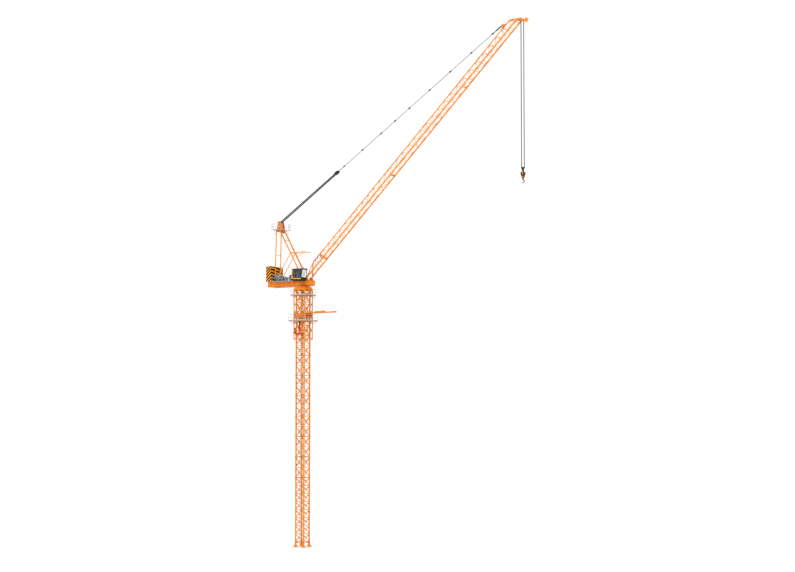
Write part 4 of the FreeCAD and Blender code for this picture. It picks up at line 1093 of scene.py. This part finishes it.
# %% [markdown]
# ## The jib's joints
# The jib is pinned together from sections. At each joint the three chords carry forked ends and pins, which
# show as short thick sleeves with a bright pin through them. The jib leans, so its places are given along,
# across and above it, and one helper turns them into the crane's frame.

# %% Places on the jib


def on_jib(along, across, above):
    """A place on the jib: foot + along * jib direction + across * Y + above * the direction square to
    both."""
    along, across, above = np.broadcast_arrays(along, across, above)
    x = JIB_FOOT[0] + along * np.cos(JIB_ANGLE) - above * np.sin(JIB_ANGLE)
    z = JIB_FOOT[2] + along * np.sin(JIB_ANGLE) + above * np.cos(JIB_ANGLE)
    return np.stack([x, across, z], axis=-1)


print("jib head at", on_jib(JIB_LENGTH, 0, 0).round(3))

# %% Jib joints
chord_y = 0.075
upper_chord = 0.140
sleeve_half = 0.028
pin_step = 0.013
sleeve_ends = [[], []]
pin_ends = [[], []]
for along in (0.5, 1.5, 2.5, 3.5, 4.5, 5.0):
    for across, above, thick in ((-chord_y, 0.0, 0.0145), (chord_y, 0.0, 0.0145), (0.0, upper_chord, 0.0115)):
        for side, sign in enumerate((-1, 1)):
            sleeve_ends[side].append(on_jib(along + sign * sleeve_half, across, above))
            reach = across + sign * (thick + 0.003)
            pin_ends[side] += [on_jib(along + step, reach, above) for step in (-pin_step, pin_step)]
sleeves = struts(*sleeve_ends, radius=0.0155, sides=8)
finish_piece("jib_joint_sleeves", *sleeves, amber, "jib", "orange_paint")
joint_pins = struts(*pin_ends, radius=0.0042, sides=10)
finish_piece("jib_joint_pins", *joint_pins, bright_steel, "jib", "galvanised_steel")

# %% [markdown]
# ## Safety line, battens and the jib's two ends
# Short posts stand on the upper chord and carry a safety wire. Between the diagonals each side has fine
# battens. The head has a light guard rail over the end of the upper chord, and the foot has a red-orange
# frame. All are struts between places on the jib.

# %% Safety line on the upper chord
post_at = np.arange(0.62, 5.60, 1.0 / 3)
line_posts = struts(on_jib(post_at, 0.0, 0.146), on_jib(post_at, 0.0, 0.186), radius=0.0018)
wires = struts(on_jib(post_at[:-1], 0.0, 0.184), on_jib(post_at[1:], 0.0, 0.184), radius=0.0009, sides=5)
finish_piece("jib_safety_line", *merged(line_posts, wires), pale_orange, "jib", "orange_paint")

# %% Battens between the diagonals
batten_at = np.arange(0.5, 5.80, 1.0 / 6)
near_chord = on_jib(batten_at, -chord_y, 0.0)
far_chord = on_jib(batten_at, chord_y, 0.0)
top_chord = on_jib(batten_at, 0.0, upper_chord)
battens = struts([near_chord, far_chord, near_chord], [top_chord, top_chord, far_chord], radius=0.0017)
finish_piece("jib_battens", *battens, pale_orange, "jib", "orange_paint")

# %% Guard rail on the jib's head
rail_at = (5.62, 5.74, 5.86)
rail_side, rail_height = 0.04, 0.225
foot_share = 0.4
rail_starts = []
rail_ends = []
for across in (-rail_side, rail_side):
    for along in rail_at:
        rail_starts.append(on_jib(along, across * foot_share, upper_chord))
        rail_ends.append(on_jib(along, across, rail_height))
    for above in (0.185, rail_height):
        share = foot_share + (1 - foot_share) * (above - upper_chord) / (rail_height - upper_chord)
        rail_starts.append(on_jib(rail_at[0], across * share, above))
        rail_ends.append(on_jib(rail_at[-1], across * share, above))
head_rail = struts(rail_starts, rail_ends, radius=0.0015)
finish_piece("jib_head_rail", *head_rail, galvanised, "jib", "galvanised_steel")

# %% Frame at the jib's foot
foot_frame_at = 0.474
foot_peak = on_jib(foot_frame_at, 0.0, 0.1405)
foot_ridge = on_jib(0.27, 0.0, 0.1405)
foot_near, foot_far = (on_jib(foot_frame_at, across, 0.010) for across in (-0.070, 0.070))
frame_starts = [foot_peak, foot_peak, foot_ridge]
foot_frame = struts(frame_starts, [foot_near, foot_far, foot_peak], radius=0.0118, sides=4)
finish_piece("foot_frame_sleeve", *foot_frame, red_orange_and_flange_shade, "jib", "red_paint")

# %% [markdown]
# ## Wire ropes
# The hoist falls and the luffing falls change length as the crane works. Each rope is a straight tube with
# rings along it.

# %% Hoist falls


def rope_tube(starts, ends, radius, rings, sides=8):
    """Straight ropes with rings along them: ring i lies at start + i / (rings - 1) * (end - start)."""
    tubes = []
    for start, end in zip(starts, ends):
        along = np.linspace(0, np.linalg.norm(end - start), rings)
        tubes.append(turned(np.column_stack([along, np.full(rings, radius)]), start, end - start, sides))
    return merged(*tubes)


fall_low, fall_high = corners(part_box("hoist_ropes"))
fall_inset = 0.003
pair_half = 0.0063
fall_x = np.array([fall_low[0] + fall_inset, fall_high[0] - fall_inset])
fall_plan = [[x, y] for x in fall_x for y in (-pair_half, pair_half)]
fall_tops = at_height(fall_plan, fall_high[2])
fall_ends = at_height(fall_plan, fall_low[2])
hoist_ropes = rope_tube(fall_tops, fall_ends, radius=0.0060, rings=24)
falls = finish_piece("hoist_falls", *hoist_ropes, new_rope, None, "wire_rope")
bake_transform(falls)
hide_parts("hoist_ropes")

# %% Luffing falls
LUG = on_jib(5.690, 0.0, 0.185)
line_dir = (LUG - HEAD) / np.linalg.norm(LUG - HEAD)
line_up = np.array([-line_dir[2], 0, line_dir[0]])
falls_length = 1.500
head_gap, block_gap = 0.023, 0.0172
block_share = 0.9
head_places = []
block_places = []
for level in (-0.014, 0.014):
    for y in (-0.015, -0.005, 0.005, 0.015):
        head_places.append(HEAD + line_dir * head_gap + line_up * level + [0, y, 0])
        block_way = line_dir * (falls_length - block_gap) + line_up * level * block_share
        block_places.append(HEAD + block_way + [0, y, 0])
luffing_ropes = rope_tube(head_places, block_places, radius=0.0033, rings=16)
luff = finish_piece("luffing_rope_falls", *luffing_ropes, rope_steel, None, "wire_rope")
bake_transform(luff)
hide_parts("luffing_falls")

# %% [markdown]
# ## Pins of the pendant line
# The pendant is a chain of flat bars. Each joint between two bars is a dark pin through a pair of eye plates,
# and the last bar hangs on the jib's lug by a short double link.

# %% Pendant pins
bar_lengths = [0.47, 0.47, 0.35, 0.35, 0.49, 0.49, 0.49, 0.49]
first_pin = falls_length + 0.2 - 5.5217
pin_at = first_pin + np.concatenate([[0], np.cumsum(bar_lengths)])
pin_middle = LUG + pin_at[:, None] * line_dir
pin_half = [0, 0.0115, 0]
pendant_pins = struts(pin_middle - pin_half, pin_middle + pin_half, radius=0.0125, sides=16)
finish_piece("pendant_pins", *pendant_pins, black, "pendant_line", "black_paint")
eye_half = line_dir * 0.026
eye_plates = struts(pin_middle - eye_half, pin_middle + eye_half, radius=0.0085, sides=4)
finish_piece("pendant_eye_plates", *eye_plates, black, "pendant_line", "black_paint")

# %% Link to the jib's lug
link_sides = np.array([[0, -0.006, 0], [0, 0.006, 0]])
link_foot = LUG - line_dir * 0.150
link_head = LUG - line_dir * 0.004
end_link = struts(link_foot + link_sides, link_head + link_sides, radius=0.0095, sides=4)
finish_piece("pendant_end_link", *end_link, black, "pendant_line", "black_paint", bevel=0.001)

# %% [markdown]
# ## The hook block
# The block is a black housing round one sheave, with an orange hub and bolts, orange cheek plates and, under
# it, the hook with its collar and a safety latch across its mouth. Hub and collar are turned profiles.

# %% Hook block hub and bolts
house_low, house_high = corners(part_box("hook_block_housing"))
block_x = (house_low[0] + house_high[0]) / 2
sheave_z = house_high[2] - 0.038
hub_profile = [[0.019, 0], [0.019, 0.012], [0.0235, 0.012], [0.0235, 0.007], [0.027, 0.007], [0.027, 0]]
hubs = [turned(hub_profile, [block_x, 0, sheave_z], [0, sign, 0], sides=24) for sign in (-1, 1)]
bolt_circle = 0.029
bolt_turn = np.arange(8) * 2 * np.pi / 8
bolt_middle = np.column_stack([block_x + bolt_circle * np.cos(bolt_turn), np.zeros(8),
                               sheave_z + bolt_circle * np.sin(bolt_turn)])
bolt_half = [0, 0.0225, 0]
cheek_bolts = struts(bolt_middle - bolt_half, bolt_middle + bolt_half, radius=0.0022)
finish_piece("hook_block_bolts", *merged(*hubs, cheek_bolts), orange, "hook_block", "orange_paint")

# %% Hook block cheeks
cheek_y = 0.0205
upper_cheek = boxes([block_x - 0.011, -cheek_y, sheave_z - 0.010],
                    [block_x + 0.011, cheek_y, house_high[2] + 0.004])
lower_cheek = boxes([block_x - 0.019, -cheek_y, house_low[2] - 0.001],
                    [block_x + 0.019, cheek_y, house_low[2] + 0.018])
cheeks = merged(upper_cheek, lower_cheek)
finish_piece("hook_block_cheeks", *cheeks, orange, "hook_block", "orange_paint", bevel=0.0015)

# %% Hook latch and collar
hook_low, hook_high = corners(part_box("hook"))
latch_foot = [block_x + 0.003, 0, hook_high[2] - 0.036]
latch_tip = [block_x + 0.0225, 0, hook_low[2] + 0.028]
latch = struts(latch_foot, latch_tip, radius=0.0022)
collar_profile = [[-0.012, 0], [-0.012, 0.0100], [0, 0.0180], [0.004, 0.0200], [0.008, 0.0180], [0.008, 0]]
collar = turned(collar_profile, [block_x, 0, hook_high[2] - 0.0145], [0, 0, 1], sides=24)
finish_piece("hook_latch", *merged(latch, collar), black, "hook", "black_paint")

# %% [markdown]
# ## Floor and light
# The crane stands on a plain pale floor under a broad soft sky with one large key light and a weaker fill,
# as in a studio. A point light would throw hard shadows through the lattice; an area light doesn't.

# %% Floor
world = bpy.data.worlds.new("studio")
bpy.context.scene.world = world
world.use_nodes = True
background = world.node_tree.nodes["Background"]
background.inputs["Color"].default_value = (1.0, 1.0, 1.0, 1)
background.inputs["Strength"].default_value = 1.08
floor_paint = coat("pale_floor", (0.95, 0.95, 0.95), (0.93, 0.93, 0.93), rough=0.7, grain=0.6, clear=0.0)
floor_half = 90.0
floor_slab = boxes([[-floor_half, -floor_half, -0.05]], [[floor_half, floor_half, -0.0005]])
floor = finish_piece("studio_floor", *floor_slab, floor_paint, None, None)

# %% Lights
LIGHT_SIZE = 8.0


def area_light(name, place, target, power):
    """A square soft light at a place, turned to face a target."""
    light = bpy.data.lights.new(name, "AREA")
    light.energy = power
    light.size = LIGHT_SIZE
    lamp = bpy.data.objects.new(name, light)
    bpy.context.scene.collection.objects.link(lamp)
    lamp.location = place
    lamp.rotation_euler = (Vector(target) - Vector(place)).to_track_quat("-Z", "Y").to_euler()
    print(name, power, "W")


area_light("key_light", (-9.0, -16.0, 16.0), (1.0, 0.0, 5.0), power=1300)
area_light("fill_light", (18.0, -8.0, 9.0), (1.5, 0.0, 5.0), power=300)

# %% [markdown]
# ## Camera
# The camera stands low and far off to the right. It looks up a little and its frame is shifted up a little,
# which together keep the tall mast nearly upright. The Standard view transform keeps the paint's own colours.

# %% Camera
camera_data = bpy.data.cameras.new("camera")
camera_data.lens = 57.237
camera_data.sensor_width = 36.0
camera_data.shift_y = 0.06
camera_data.clip_end = 400.0
camera = bpy.data.objects.new("camera", camera_data)
bpy.context.scene.collection.objects.link(camera)
camera.location = (13.749, -18.618, 2.826)
camera.rotation_euler = (np.radians(90 + 2.583), 0, np.radians(32.169))
bpy.context.scene.camera = camera
bpy.context.scene.view_settings.view_transform = "Standard"
print("camera lens", camera_data.lens, "mm")
